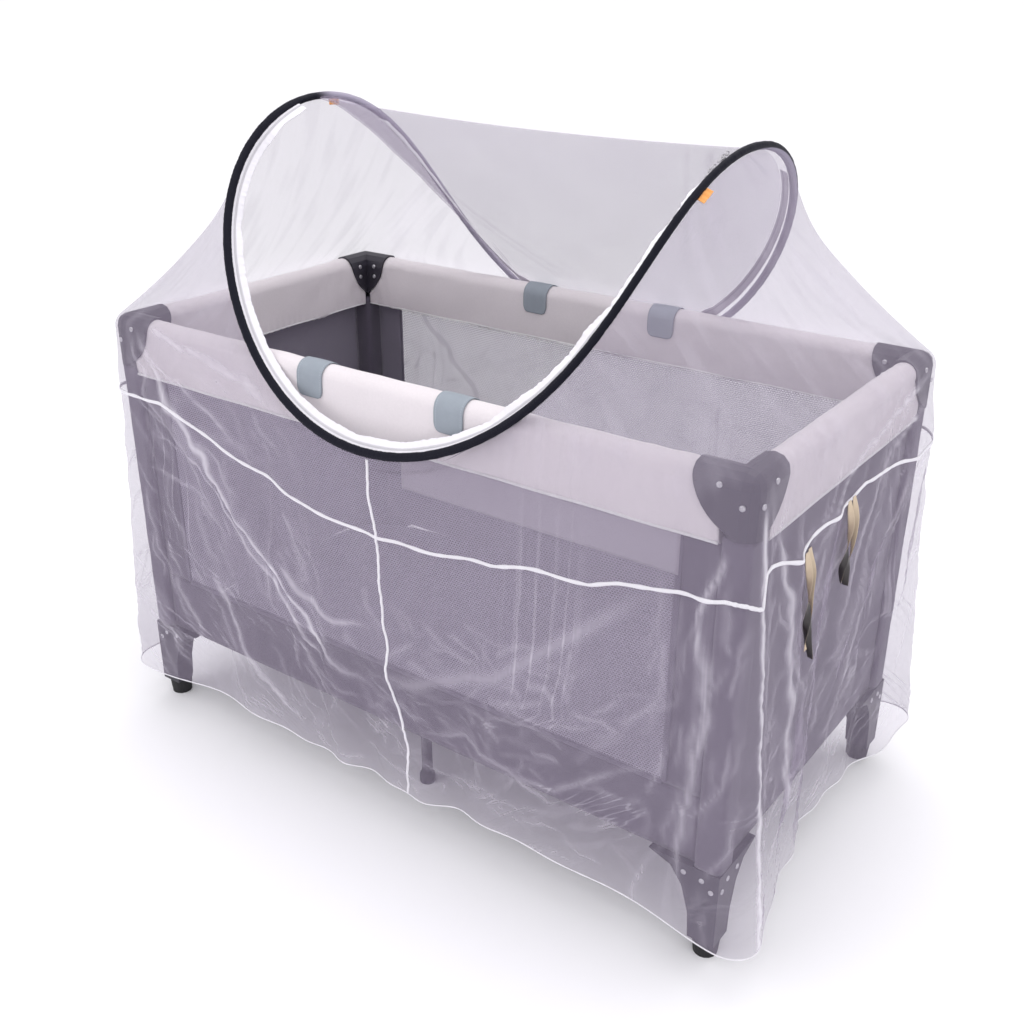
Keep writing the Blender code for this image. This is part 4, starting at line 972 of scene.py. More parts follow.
def clear_of_rim(points, distance):
    """Moves points out to a distance from the rim's centre plane, an upright stadium swept round the cot."""
    half = np.array([COT_HALF_X - RAIL_THICKNESS / 2, COT_HALF_Y - RAIL_THICKNESS / 2])
    plan = points[..., :2]
    beyond = np.abs(plan) - half
    both = (beyond > 0).all(axis=-1)
    signed = np.where(both, np.linalg.norm(np.maximum(beyond, 0), axis=-1), beyond.max(axis=-1))
    larger = (beyond[..., 0] >= beyond[..., 1]).astype(float)
    direction = np.where(both[..., None], np.maximum(beyond, 0), np.stack([larger, 1 - larger], axis=-1))
    direction = unit(direction) * np.where(plan < 0, -1.0, 1.0)
    over = np.maximum(points[..., 2] - (RAIL_TOP - RAIL_THICKNESS / 2), 0)
    reach = np.maximum(np.hypot(signed, over), 0.0001)
    short = np.maximum(distance - reach, 0) * (points[..., 2] > 0.60)
    moved = points.copy()
    moved[..., :2] += direction * (signed / reach * short)[..., None]
    moved[..., 2] += over / reach * short
    return moved


FACES = {"front": (0, 1, -1.0), "back": (0, 1, 1.0), "left": (1, 0, -1.0), "right": (1, 0, 1.0)}


def raise_folds(points, normal):
    """Adds each tension fold as a soft ridge about its line, fading at both ends."""
    moved = points.copy()
    for face, start, end, height, width in SKIRT_FOLDS:
        along, across_axis, sign = FACES[face]
        facing = np.maximum(normal[:, across_axis] * sign, 0) ** 2
        run = np.subtract(end, start)
        place = points[:, [along, 2]] - start
        share = place @ run / (run @ run)
        across = np.linalg.norm(place - np.clip(share, 0, 1)[:, None] * run, axis=1)
        fade = smooth_step(share / 0.15 + 0.3) * smooth_step((1 - share) / 0.25 + 0.2)
        moved[:, across_axis] += sign * height * np.exp(-((across / width) ** 2)) * fade * facing
    return moved


def skirt_grid(density, row_density):
    """The net's skirt as rows of points, from the hoop down.

    Each column runs from the hoop to where it meets the rim, bends round the rim's top and hangs to the hem;
    where the hoop stands outside the rim the column hangs straight from it. Returned with the columns'
    outward directions and their distance round the rim from the middle of the front.
    """
    turn, place, signs = skirt_columns(density)
    centre = hoop_points(turn)
    reach = RAIL_THICKNESS / 2 + CAP_PROUD + NET_CLEARANCE + NET_THICKNESS / 2
    half = (COT_HALF_X - RAIL_THICKNESS / 2, COT_HALF_Y - RAIL_THICKNESS / 2)
    rim, normal = plan_path(place, signs, *half, 0.0)
    rim_z = RAIL_TOP - RAIL_THICKNESS / 2
    hem_z = HEM_Z + 0.005 * np.sin(5 * turn) + 0.004 * np.sin(11 * turn + 1)
    hem = np.column_stack([hem_line(place, signs), hem_z])
    inward = ((centre[:, :2] - rim) * normal).sum(axis=1)
    above = centre[:, 2] - rim_z
    far = np.hypot(inward, above)
    meet = np.arctan2(above, inward) - np.arccos(np.clip(reach / far, 0, 1))
    over = smooth_step((centre[:, 2] - 0.80) / 0.16)
    corner = np.exp(-(((place - (BEND_START + BEND_END) / 2) / 0.10) ** 2))
    sag = SLOPE_SAG * over * (1 - 0.85 * corner)
    meet = meet + np.arctan2(4 * sag, far)
    window = 6 * density + 1
    near = np.arange(-(window // 2), window // 2 + 1)
    weight = np.cos(near / window * math.pi) ** 2
    wraps = sum(w * np.roll((meet > 0).astype(float), k) for w, k in zip(weight, near))[:, None] / weight.sum()
    meet = np.clip(meet, 0, math.pi / 2)
    low_z = np.minimum(rim_z, centre[:, 2] - 0.024)
    fall = (centre[:, 2] - low_z) / (centre[:, 2] - hem[:, 2])
    straight = centre * (1 - fall[:, None]) + hem * fall[:, None]
    side = np.column_stack([rim + normal * reach, np.full(len(turn), rim_z)])
    low = side * wraps + straight * (1 - wraps)
    top = np.column_stack([rim + normal * (reach * np.cos(meet))[:, None], rim_z + reach * np.sin(meet)])
    top = top * wraps + (centre * 0.4 + low * 0.6) * (1 - wraps)
    heading = top - centre
    outward = (heading[:, :2] * normal).sum(axis=1)
    steep = np.hypot(outward, heading[:, 2])
    inside = np.column_stack([normal * (heading[:, 2] / steep)[:, None], -outward / steep])
    start = centre + square_to_hoop(turn, heading) * (HOOP_TUBE_RADIUS + SEAM_GAP + 0.00025)
    rows = []
    slope_rows, shoulder_rows, hang_rows = (
        SLOPE_ROWS * row_density, SHOULDER_ROWS * row_density, HANG_ROWS * row_density
    )
    for step in range(slope_rows):
        s = step / slope_rows
        rows.append(start * (1 - s) + top * s + inside * (4 * s * (1 - s) * sag)[:, None])
    for step in range(shoulder_rows):
        s = step / shoulder_rows
        angle = meet * (1 - s)
        plan = rim + normal * (reach * np.cos(angle))[:, None]
        bent = np.column_stack([plan, rim_z + reach * np.sin(angle)])
        rows.append(bent * wraps + (top * (1 - s) + low * s) * (1 - wraps))
    for step in range(hang_rows + 1):
        s = step / hang_rows
        spread = s**1.15
        row = low * (1 - s) + hem * s
        row[:, :2] = low[:, :2] * (1 - spread) + hem[:, :2] * spread
        pleats = 0.005 * np.sin(17 * turn) + 0.004 * np.sin(29 * turn + 2)
        row[:, :2] += normal * (pleats * smooth_step(s * 1.6))[:, None]
        rows.append(row)
    for step in range(1, len(rows)):
        row = raise_folds(rows[step], normal) if step >= slope_rows + shoulder_rows else rows[step]
        rows[step] = clear_of_rim(row, reach)
    start_column = 26 * density
    rim_out = np.roll(rim + normal * reach, -start_column, axis=0)
    steps = np.linalg.norm(np.diff(rim_out, axis=0), axis=1)
    around = np.concatenate([[0.0], np.cumsum(steps)])
    around = around - around[len(around) // 2]
    return np.roll(np.array(rows), -start_column, axis=1), np.roll(normal, -start_column, axis=0), around


def at_rows(grid, where):
    """Points of a grid at fractional rows, given for each new row and column."""
    low = np.clip(np.floor(where).astype(int), 0, len(grid) - 2)
    share = (where - low)[..., None]
    columns = np.arange(grid.shape[1])
    return grid[low, columns] * (1 - share) + grid[low + 1, columns] * share


def waist_rows(grid, around):
    """The fractional row at which each column passes the waist seam's height."""
    places, heights = np.array(WAIST_HEIGHTS).T
    wanted = np.interp(around, places, heights)
    wanted = wanted + 0.0022 * np.sin(around * 21 + 1) + 0.0014 * np.sin(around * 47)
    above = grid[..., 2] > wanted
    last = np.minimum(above.sum(axis=0) - 1, len(grid) - 2)
    columns = np.arange(grid.shape[1])
    high, low = grid[last, columns, 2], grid[last + 1, columns, 2]
    return last + (high - wanted) / (high - low)


def crease_lines():
    """All creases: the drawn ones, then short seeded ones scattered over the crumpled parts."""
    lines = [list(row) for row in CREASES]
    rng = np.random.default_rng(11)
    for face, low, high, count, lean, spread, longest, strength in CRUMPLES:
        for _ in range(count):
            middle = rng.uniform(low, high)
            heading = math.radians(rng.normal(lean, spread))
            reach = rng.uniform(0.25, 1.0) * longest / 2
            run = np.array([math.cos(heading), math.sin(heading)]) * reach
            bend = np.array([-run[1], run[0]]) * rng.normal(0, 0.16)
            points = [middle - run, middle + bend, middle + run]
            lines.append([face, points, rng.uniform(0.0034, 0.0056), strength * rng.uniform(0.35, 1.0)])
    return lines


def creased(grid, normal):
    """How strongly each point of the net lies in a crease, from 0 to 1.

    For each crease the distance to its nearest stretch gives a bell across it, exp(-(distance / width) ** 2),
    and a slow fade ends it.
    """
    mask = np.zeros(grid.shape[:2])
    warp = 0.0035 * soft_noise(grid[..., 0] + grid[..., 1], grid[..., 2], 0.07, 5)
    for face, points, width, strength in crease_lines():
        along, across_axis, sign = FACES[face]
        facing = np.broadcast_to(np.maximum(normal[:, across_axis] * sign, 0) ** 2, mask.shape)
        points = np.array(points)
        place = np.stack([grid[..., along] + warp, grid[..., 2] + warp], axis=-1)
        low, high = points.min(axis=0) - 0.03, points.max(axis=0) + 0.03
        near = (facing > 0.05) & ((place > low) & (place < high)).all(axis=-1)
        if not near.any():
            continue
        place, best, run = place[near], 1.0, 0.0
        lengths = distance_along(points)
        whole = lengths[-1]
        for first, last, start in zip(points[:-1], points[1:], lengths):
            step = last - first
            share = np.clip((place - first) @ step / (step @ step), 0, 1)
            away = np.linalg.norm(place - first - share[:, None] * step, axis=1)
            run = np.where(away < best, start + share * np.linalg.norm(step), run)
            best = np.minimum(away, best)
        ends = smooth_step(run / (0.16 * whole)) * smooth_step((whole - run) / (0.3 * whole))
        bell = strength * ends * facing[near] * np.exp(-((best / width) ** 2))
        mask[near] = np.maximum(mask[near], bell)
    return mask


def net_skirt_cloths():
    """The skirt's two cloths, above and below the waist seam, and the columns' distance round the rim.

    The skirt's formula is worked out on a fine grid, and its rows are spaced evenly from the hoop to the seam
    and from the seam to the hem. Small waves and the creases then lift each cloth outwards, fading at its two
    edges. Each cloth comes as its points, how strongly they are creased, and their heights.
    """
    grid, normal, around = skirt_grid(CLOTH_DENSITY, 8)
    split = waist_rows(grid, around)
    top, bottom = np.zeros_like(split), np.full_like(split, len(grid) - 1)
    cloths = []
    for low, high, count in ((top, split, UPPER_ROWS), (split, bottom, LOWER_ROWS)):
        share = np.linspace(0, 1, count)[:, None]
        cloth = at_rows(grid, low + (high - low) * share)
        out = cloth_normals(cloth)
        crease = creased(cloth, normal)
        hanging = smooth_step((0.70 - cloth[..., 2]) / 0.05)
        wave = 0.0016 * soft_noise(around[None], cloth[..., 2] * 0.6, 0.060, 3) * hanging
        wave += 0.0009 * soft_noise(around[None], cloth[..., 2], 0.026, 4) * hanging
        joined = smooth_step(share / 0.03) * smooth_step((1 - share) / 0.03)
        lift = (0.0028 * crease + wave) * joined
        cloths.append((cloth + out * lift[..., None], crease, cloth[..., 2]))
    return cloths, around


class COTNET_OT_net_skirt(Operator):
    """The sheer skirt: an upper and a lower cloth joined at the waist seam, with the rolled seams and hem."""
    bl_idname = "cotnet.net_skirt"
    bl_label = "Net skirt"

    def execute(self, context):
        net = context.scene.cotnet_net
        cloths, around = net_skirt_cloths()
        material = finish_once("net_cloth", net_finish, net)
        wide = np.concatenate([around, [2 * around[-1] - around[-2]]])
        lean = smooth_step((np.abs(around) - 0.05) / 0.3)[None] * (around > 0)
        corner = np.exp(-(((around - 0.643) / 0.0045) ** 2)) + 0.4 * np.exp(-(((around - 0.664) / 0.004) ** 2))
        made = []
        for name, (cloth, crease, height) in zip(("net_upper_cloth", "net_lower_cloth"), cloths):
            hangs = smooth_step((0.765 - height) / 0.05)
            soft = np.clip(soft_noise(around[None] + 0.2 * height, 0.25 * height, 0.045, 9), 0, 1)
            soft = 0.16 * (1 - hangs) * soft
            # line also whitens the net's colour along creases, the corner fold and the soft bands. This is a
            # painted highlight over cloth that really is denser there.
            line = np.clip(np.maximum(crease, 0.85 * corner[None] * hangs) + soft, 0, 1)
            crumple = smooth_step((0.72 - height) / 0.2) * 0.8 + 0.2
            down = distance_along(cloth[:, 0])[:, None]
            piece = surface(name, cloth, closed=True, uv=(wide[None], down), attributes={
                "crease": line, "cover": net.cover, "crumple": crumple, "lean": lean,
            })
            made.append(dress(piece, material, "net", "net_skirt"))
        upper, lower = cloths[0][0], cloths[1][0]
        seams = [
            self.rolled("waist_seam", lower[0], lower[4] - lower[0], net.seam_width, net),
            self.rolled("hem_roll", lower[-1], lower[-5] - lower[-1], net.seam_width * 0.45, net),
            self.front_seam(upper, lower, net),
        ]
        for piece, cloth, carrier, parts in (
            (made[0], upper, "hoop_band", ()), (made[1], lower, "net_upper_cloth", seams),
        ):
            area = sheet_area(cloth, True)
        return {"FINISHED"}

    def rolled(self, name, line, down, half_width, net):
        """A rolled seam round the whole skirt: a flat oval carried along the cloth's line, a little proud."""
        along = unit(np.roll(line, -1, axis=0) - np.roll(line, 1, axis=0))
        side = unit(down - along * (down * along).sum(axis=1)[:, None])
        out = np.cross(side, along)
        out *= np.where((out[:, :2] * line[:, :2]).sum(axis=1) < 0, -1.0, 1.0)[:, None]
        run = np.arange(len(line))
        swell = 1 + 0.16 * np.sin(run * 0.9) * np.sin(run * 0.23)
        profile = round_profile(half_width, half_width * 0.55, 8)
        grid = swept(line + out * 0.0006, side * swell[:, None], out * swell[:, None], profile, loop=True)
        length = np.concatenate([distance_along(line), [distance_along(line)[-1] + 0.005]])
        piece = surface(name, grid, closed=True, uv=(length[None] * 0, length[None]), merge=True)
        return dress(piece, finish_once("net_seam", seam_finish, net), "zip_tape")

    def front_seam(self, upper, lower, net):
        """The upright seam of the front: its drawn line laid on the cloth by height, row by row."""
        whole = np.concatenate([upper[:-1], lower])
        half = whole.shape[1] // 2
        front = whole[:, half - 160:half + 160]
        wanted = np.array(FRONT_SEAM)[::-1]
        points = []
        for row in front:
            x = np.interp(row[:, 2].mean(), wanted[:, 1], wanted[:, 0])
            points.append([np.interp(x, row[:, 0], row[:, k]) for k in range(3)])
        line = np.array(points)
        line = line[line[:, 2] < FRONT_SEAM[0][1]]
        line[:, 0] += 0.0012 * np.sin(line[:, 2] * 90)
        side, out = path_frame(line, (0, -1, 0))
        profile = round_profile(net.seam_width * 0.9, net.seam_width * 0.5, 8)
        grid = swept(line + np.array([0, -0.0007, 0]), side, out, profile)
        run = np.concatenate([[0], distance_along(line), [distance_along(line)[-1]]])[:, None]
        piece = surface("front_seam", grid, closed=True, uv=(run * 0, run), merge=True)
        return dress(piece, finish_once("net_seam", seam_finish, net), "zip_tape")


def sheet_area(grid, closed):
    """Area of a grid's quads."""
    beside = np.roll(grid, -1, axis=1) if closed else grid[:, 1:]
    own = grid if closed else grid[:, :-1]
    first = np.cross(own[1:] - own[:-1], beside[:-1] - own[:-1])
    second = np.cross(beside[:-1] - beside[1:], own[1:] - beside[1:])
    return float((np.linalg.norm(first, axis=-1) + np.linalg.norm(second, axis=-1)).sum() / 2)


def ridge_point(turn):
    """The canopy's ridge under a turn of the hoop: straight between the hoop's two tops, with a small sag."""
    x = hoop_points(turn)[:, 0]
    ends = hoop_points(np.array([math.pi, 0.0]))
    share = (x - ends[0, 0]) / (ends[1, 0] - ends[0, 0])
    z = ends[0, 2] * (1 - share) + ends[1, 2] * share - 0.010 * 4 * share * (1 - share) - 0.004
    return np.column_stack([x * RIDGE_INSET, np.zeros_like(x), z])


def hoop_inward(turn):
    """Directions square to the hoop, towards the ridge."""
    return square_to_hoop(turn, ridge_point(turn) - hoop_points(turn))


def canopy_path(turn):
    """Each station's path from the ridge to the hoop's back, over the back rail where the hoop lies below it.

    The rows are four down the slope, three round the rail and two from it to the hoop. Returned with the
    outward directions of the rows.
    """
    end = hoop_points(turn) + hoop_inward(turn) * (HOOP_TUBE_RADIUS + SEAM_GAP + NET_THICKNESS / 2 + 0.0007)
    ridge = ridge_point(turn)
    centre_y, centre_z = COT_HALF_Y - RAIL_THICKNESS / 2, RAIL_TOP - RAIL_THICKNESS / 2
    reach = RAIL_THICKNESS / 2 + STRAP_THICKNESS + 2 * SEAM_GAP + NET_THICKNESS / 2 + CANOPY_CLEARANCE
    sag = CANOPY_SAG * np.sin(turn) ** 2

    def angles(point, side):
        y, z = point[:, 1] - centre_y, point[:, 2] - centre_z
        far = np.hypot(y, z)
        return np.arctan2(z, y) + side * np.arccos(np.clip(reach / far, 0, 1)), far

    meet, far = angles(ridge, -1)
    leave = angles(end, 1)[0]
    wraps = leave < meet
    meet = meet + np.arctan2(4 * sag, far)
    leave = np.minimum(leave, meet)
    around = []
    for step, share in enumerate((0.84, 0.86, 0.88, 0.90)):
        angle = meet + (leave - meet) * step / 3
        x = ridge[:, 0] * (1 - share) + end[:, 0] * share
        bent = np.column_stack([x, centre_y + reach * np.cos(angle), centre_z + reach * np.sin(angle)])
        around.append(np.where(wraps[:, None], bent, ridge * (1 - share) + end * share))
    run = around[0] - ridge
    inside = unit(np.column_stack([np.zeros(len(turn)), run[:, 2], -run[:, 1]]))
    rows = []
    for s in (0.0, 0.25, 0.5, 0.75):
        rows.append(ridge * (1 - s) + around[0] * s + inside * (4 * s * (1 - s) * sag)[:, None])
    rows = np.array(rows + around + [(around[3] + end) / 2, end])
    outward = np.cross(np.array([1.0, 0.0, 0.0]), np.gradient(rows, axis=0))
    outward *= np.where(outward[..., 2:3] < 0, -1.0, 1.0)
    return rows, unit(outward)


def along_path(rows, outward, distance):
    """Points, and outward directions, at a distance from the ridge along each station's path."""
    steps = np.linalg.norm(np.diff(rows, axis=0), axis=2)
    run = np.concatenate([np.zeros((1, rows.shape[1])), np.cumsum(steps, axis=0)])
    both = np.concatenate([rows, outward], axis=2)
    found = np.array([
        [np.interp(distance[station], run[:, station], both[:, station, k]) for k in range(6)]
        for station in range(rows.shape[1])
    ])
    return found[:, :3], unit(found[:, 3:])


def path_lengths(rows):
    return np.linalg.norm(np.diff(rows, axis=0), axis=2).sum(axis=0)


def flap_lift(turn, share):
    return CANOPY_LAYER_GAP + 0.0008 * (1 + np.sin(9 * turn)) * share


def canopy_cloth(stations, rows_each):
    """The hoop's panel: from the hoop's back up to the ridge, folded over it, and down outside itself.

    Each layer is spaced evenly along the station's path; fine wrinkles that fan out from the hoop's two tops
    move both layers together.
    """
    turn = np.linspace(math.radians(5), math.radians(175), stations)
    rows, outward = canopy_path(turn)
    length = path_lengths(rows)
    back, flap = [], []
    for share in np.linspace(0, 1, rows_each):
        point, out = along_path(rows, outward, length * share)
        fan = np.abs(np.cos(turn)) ** 2 * np.sin(math.pi * min(share * 1.05, 1.0))
        wave = 0.0014 * np.sin(44 * turn + 3 * share) * fan * np.sin(math.pi * share)
        fine = soft_noise(point[:, 0], np.full(stations, length.max() * share), 0.05, 8)
        wave += 0.0006 * fine * np.sin(math.pi * share)
        back.append(point + out * wave[:, None])
        point, out = along_path(rows, outward, length * share * np.maximum(1 - FLAP_SHORT / length, 0.3))
        flap.append(point + out * (flap_lift(turn, share) + wave * 0.8)[:, None])
    back, flap = np.array(back), np.array(flap)
    down = unit(rows[1] - rows[0])
    over = [
        rows[0] + (outward[0] * (1 - c) - down * s) * CANOPY_LAYER_GAP / 2
        for c, s in ((0.7, 0.7), (0.0, 1.0), (-0.7, 0.7))
    ]
    return np.concatenate([back[::-1], np.array(over), flap[1:]])


def canopy_creases(grid, seed):
    """Creases of the panel: seeded bands that run in from its two ends and fade out on their way down."""
    rng = np.random.default_rng(seed)
    depth = np.abs(np.linspace(-1, 1, len(grid)))[:, None]
    station = np.linspace(0, 1, grid.shape[1])[None]
    mask = np.zeros(grid.shape[:2])
    for left in (0, 1):
        for _ in range(9):
            start = rng.uniform(0.02, 0.28)
            lean = rng.normal(0.10, 0.10)
            width = rng.uniform(0.005, 0.016)
            reach = rng.uniform(0.35, 0.9)
            place = start + lean * depth
            place = 1 - place if left == 0 else place
            fade = smooth_step(depth / 0.1) * smooth_step((reach - depth) / 0.25)
            bell = np.exp(-(((station - place) / width) ** 2)) * fade
            mask = np.maximum(mask, rng.uniform(0.06, 0.22) * bell)
    return mask


class COTNET_OT_canopy(Operator):
    """The hoop's top panel, its front half thrown back over the ridge."""
    bl_idname = "cotnet.canopy"
    bl_label = "Net canopy"

    def execute(self, context):
        net = context.scene.cotnet_net
        grid = canopy_cloth(260, 70)
        down = np.stack([distance_along(grid[:, c]) for c in range(grid.shape[1])], axis=1)
        piece = surface("net_canopy_cloth", grid[::-1], uv=(grid[::-1, :, 0], down[::-1]), attributes={
            "crease": canopy_creases(grid, 21)[::-1], "cover": net.cover * 1.02, "crumple": 0.12, "lean": 0.5,
        })
        dress(piece, finish_once("net_cloth", net_finish, net), "net", "net_canopy")
        area = sheet_area(grid, False)
        return {"FINISHED"}


class COTNET_OT_hoop_band(Operator):
    """The spring hoop's black binding: a flattened tube with small gathers along the hoop."""
    bl_idname = "cotnet.hoop_band"
    bl_label = "Hoop binding"

    def execute(self, context):
        net = context.scene.cotnet_net
        turn = full_turn(1100)
        path = hoop_points(turn)
        steps = np.linalg.norm(np.roll(path, -1, axis=0) - path, axis=1)
        run = np.concatenate([[0.0], np.cumsum(steps)])
        inward = hoop_inward(turn)
        along = unit(np.roll(path, -1, axis=0) - np.roll(path, 1, axis=0))
        face = np.cross(along, inward)
        profile = round_profile(net.binding_width, net.binding_depth, 26, 0.86)
        s = run[:-1, None]
        around = full_turn(26)[None]
        gather = 1 + 0.035 * np.sin(2 * math.pi * s / 0.0088 + 1.4 * np.sin(s * 9)) * np.cos(around * 2) ** 2
        gather += 0.03 * soft_noise(s, around * 0.01, 0.03, 17)
        wide, thick = (profile[None, :, k:k + 1] * gather[..., None] for k in (0, 1))
        grid = (path[:, None] + inward[:, None] * wide + face[:, None] * thick).transpose(1, 0, 2)
        grid = np.concatenate([grid, grid[:1]])
        across = np.linspace(0, 0.048, 27)[:, None]
        behind = smooth_step(np.sin(turn) / 0.10)[None]
        facing = np.append(np.cos(around), np.cos(around[:, :1]))[:, None]
        lining = behind * smooth_step((facing + 0.60) / 0.2)
        piece = surface(
            "hoop_band", grid, closed=True, uv=(across, run[None]), attributes={"lining": lining}, merge=True)
        dress(piece, finish_once("hoop_binding", binding_finish, net), "hoop_binding", "hoop")
        return {"FINISHED"}


class COTNET_OT_zip_tapes(Operator):
    """The zip's two tapes: gathered along the hoop's open front, and along the thrown-back panel's edge."""
    bl_idname = "cotnet.zip_tapes"
    bl_label = "Zip tapes"

    def execute(self, context):
        net = context.scene.cotnet_net
        material = finish_once("zip_tape", tape_finish, net)
        turn = np.linspace(math.radians(185), math.radians(355), 960)
        inward = hoop_inward(turn)
        edge = hoop_points(turn) + inward * (HOOP_TUBE_RADIUS - 0.0005)
        out = unit(np.cross(np.gradient(edge, axis=0), inward))
        run = distance_along(edge)
        calm = smooth_step((turn - turn[0]) / 0.3) * smooth_step((turn[-1] - turn) / 0.3)
        degrees = np.degrees(turn)
        leans = smooth_step((degrees - 285) / 30) * smooth_step((352 - degrees) / 8)
        lean = math.radians(TAPE_LEAN_DEGREES) * leans
        clear = RAIL_THICKNESS / 2 + TAPE_THICKNESS / 2 + 0.0012
        rows = []
        shares = np.linspace(0, 1, 15)
        fine, middle, slow = (
            soft_noise(run, np.zeros_like(run), scale, seed)
            for scale, seed in ((0.012, 14), (0.022, 15), (0.11, 16))
        )
        for s in shares:
            wave = 0.0018 * s * calm * (np.sin(23 * turn) + 0.6 * np.sin(41 * turn + 1))
            wave += 0.0009 * s**1.5 * calm * fine
            reach = TAPE_SHOWN * s * (1 + 0.030 * s * middle - 0.10 * s * slow**2)
            shift = inward * (reach * np.cos(lean))[:, None] + out * (wave + reach * np.sin(lean))[:, None]
            rows.append(edge + shift)
        grid = clear_of_rim(np.array(rows), clear)
        across = (shares * TAPE_SHOWN)[:, None]
        self.tape("gathered_zip_tape", grid, across, run, material, "zip_tape_hoop", "gathered", "hoop_band")
        turn = np.linspace(math.radians(5), math.radians(175), 560)[60:-60]
        path, outward = canopy_path(turn)
        whole = path_lengths(path)
        length = whole - FLAP_SHORT + 0.0018
        rows = []
        for s in shares:
            point, out = along_path(path, outward, np.minimum(length + TAPE_WIDTH * s, whole - 0.001))
            ripple = 0.0007 * s * np.sin(60 * turn)
            rows.append(point + out * (flap_lift(turn, 1.0) + 0.0010 + ripple)[:, None])
        grid = np.array(rows)
        self.tape("panel_zip_tape", grid, (shares * TAPE_WIDTH)[:, None], distance_along(grid[0]), material,
                  "zip_tape_panel", "folded", "net_canopy_cloth")
        return {"FINISHED"}

    def tape(self, name, grid, across, run, material, node, held, carrier):
        """A strip of tape given half its thickness to each side."""
        piece = surface(name, grid, uv=(across, run[None]))
        thicken(piece, SHEET_THICKNESS)
        dress(piece, material, "zip_tape", node)
        length = distance_along(grid[len(grid) // 2])[-1]
        sheet_area(grid, False) / length


class COTNET_OT_slider_pulls(Operator):
    """Linked pulls on the zip's two sliders: a small ring through each body and a longer one below it."""
    bl_idname = "cotnet.slider_pulls"
    bl_label = "Slider pulls"

    def execute(self, context):
        steel = finish_once("zip_metal", metal_finish, "zip_metal", (0.46, 0.45, 0.47), 0.30)
        refinish(steel, "zip_slider_lower", "zip_slider_upper")
        for name, degrees in (("slider_pull_lower", -10.5), ("slider_pull_upper", -6.0)):
            turn = np.radians(np.array([degrees, degrees + 2]))
            line = hoop_points(turn)
            inward = hoop_inward(turn)[0]
            along = unit(line[1] - line[0])
            up = np.cross(along, inward)
            up *= 1 if up[2] > 0 else -1
            middle = line[0] + inward * (HOOP_TUBE_RADIUS + TAPE_WIDTH * 0.42) + up * 0.0068
            rings = [
                self.ring(middle + along * 0.0065, along, up, 0.0034, 0.0024, 0.00065),
                self.ring(middle + along * 0.0115, along, unit(inward + 0.3 * up), 0.0036, 0.0022, 0.00065),
                self.ring(middle + along * 0.0185, along, up, 0.0052, 0.0026, 0.00080),
            ]
            piece = surface(name, np.array(rings), closed=True, merge=True)
            dress(piece, steel, "zip_metal")
        return {"FINISHED"}

    def ring(self, centre, long_axis, short_axis, long_reach, short_reach, wire):
        """A ring link: a round wire carried round an oval."""
        turn = full_turn(28)[:, None]
        path = centre + np.cos(turn) * long_axis * long_reach + np.sin(turn) * short_axis * short_reach
        radial = unit(path - centre)
        flat = np.broadcast_to(unit(np.cross(long_axis, short_axis)), path.shape)
        return swept(path, radial, flat, round_profile(wire, wire, 10), loop=True)


class COTNET_OT_ribbons(Operator):
    """Four satin ties sewn on at the waist seam, pale on one side, painted dark as shade on the other, turning
    as they hang.
    """
    bl_idname = "cotnet.ribbons"
    bl_label = "Ribbon ties"

    def execute(self, context):
        net = context.scene.cotnet_net
        material = finish_once("satin_ribbon", ribbon_finish, net)
        cloths = [bpy.data.objects["net_upper_cloth"], bpy.data.objects["net_lower_cloth"]]
        for row in RIBBONS:
            grid = self.hang(row, cloths)
            uv = (np.linspace(0, 1, grid.shape[1] + 1)[None], np.linspace(0, row["length"], len(grid))[:, None])
            # back marks the half of the section that is painted dark as shade.
            back = (np.arange(grid.shape[1]) >= grid.shape[1] // 2).astype(float)[None]
            piece = surface(
                "satin_" + row["name"], grid, closed=True, uv=uv, attributes={"back": back}, merge=True)
            dress(piece, material, "ribbon_light", row["name"])
        return {"FINISHED"}

    def hang(self, row, cloths):
        """A thin flat oval carried down a line that stands off the cloth, turned by a smooth step on its way."""
        s = np.linspace(0, 1, 70)
        top_z = 0.634 + 0.024 * math.exp(-(((row["y"] - 0.03) / 0.12) ** 2))
        y = row["y"] + row["drift"] * s + 0.004 * np.sin(5 * s)
        z = top_z - row["length"] * s
        stand = []
        for place_y, place_z in zip(y, z):
            found = []
            for cloth in cloths:
                for beside in (-0.5, 0, 0.5):
                    origin = Vector((1.0, place_y + beside * RIBBON_WIDTH + WHOLE_SHIFT[1], place_z))
                    hit, spot = cloth.ray_cast(origin, Vector((-1, 0, 0)))[:2]
                    found += [spot.x - WHOLE_SHIFT[0]] if hit else []
            stand.append(max(found))
        stand = np.convolve(np.pad(stand, 4, mode="edge"), np.ones(9) / 9, mode="valid")
        x = np.maximum(stand, 0) + 0.0022 + RIBBON_STANDOFF * smooth_step(3 * s)
        turned = 0.35 * s + 0.65 * smooth_step((s - 0.1) / 0.8)
        turn = math.pi * (row["half_turns"] + 0.9) * turned + 0.5 * np.sin(7 * s)
        path = np.column_stack([x, y, z])
        side = np.column_stack([np.sin(turn), np.cos(turn), 0 * s])
        face = np.column_stack([np.cos(turn), -np.sin(turn), 0 * s])
        across = np.linspace(-1, 1, 8)
        front = np.column_stack([across * RIBBON_WIDTH / 2, 0.0002 + 0 * across])
        profile = np.concatenate([front, (front * [1, -1])[::-1]])
        curl = (0.0006 * np.sin(9 * s))[:, None] * (profile[None, :, 0] / (RIBBON_WIDTH / 2)) ** 2
        lift = profile[None, :, 1] + curl
        return capped(path[:, None] + side[:, None] * profile[None, :, :1] + face[:, None] * lift[..., None])


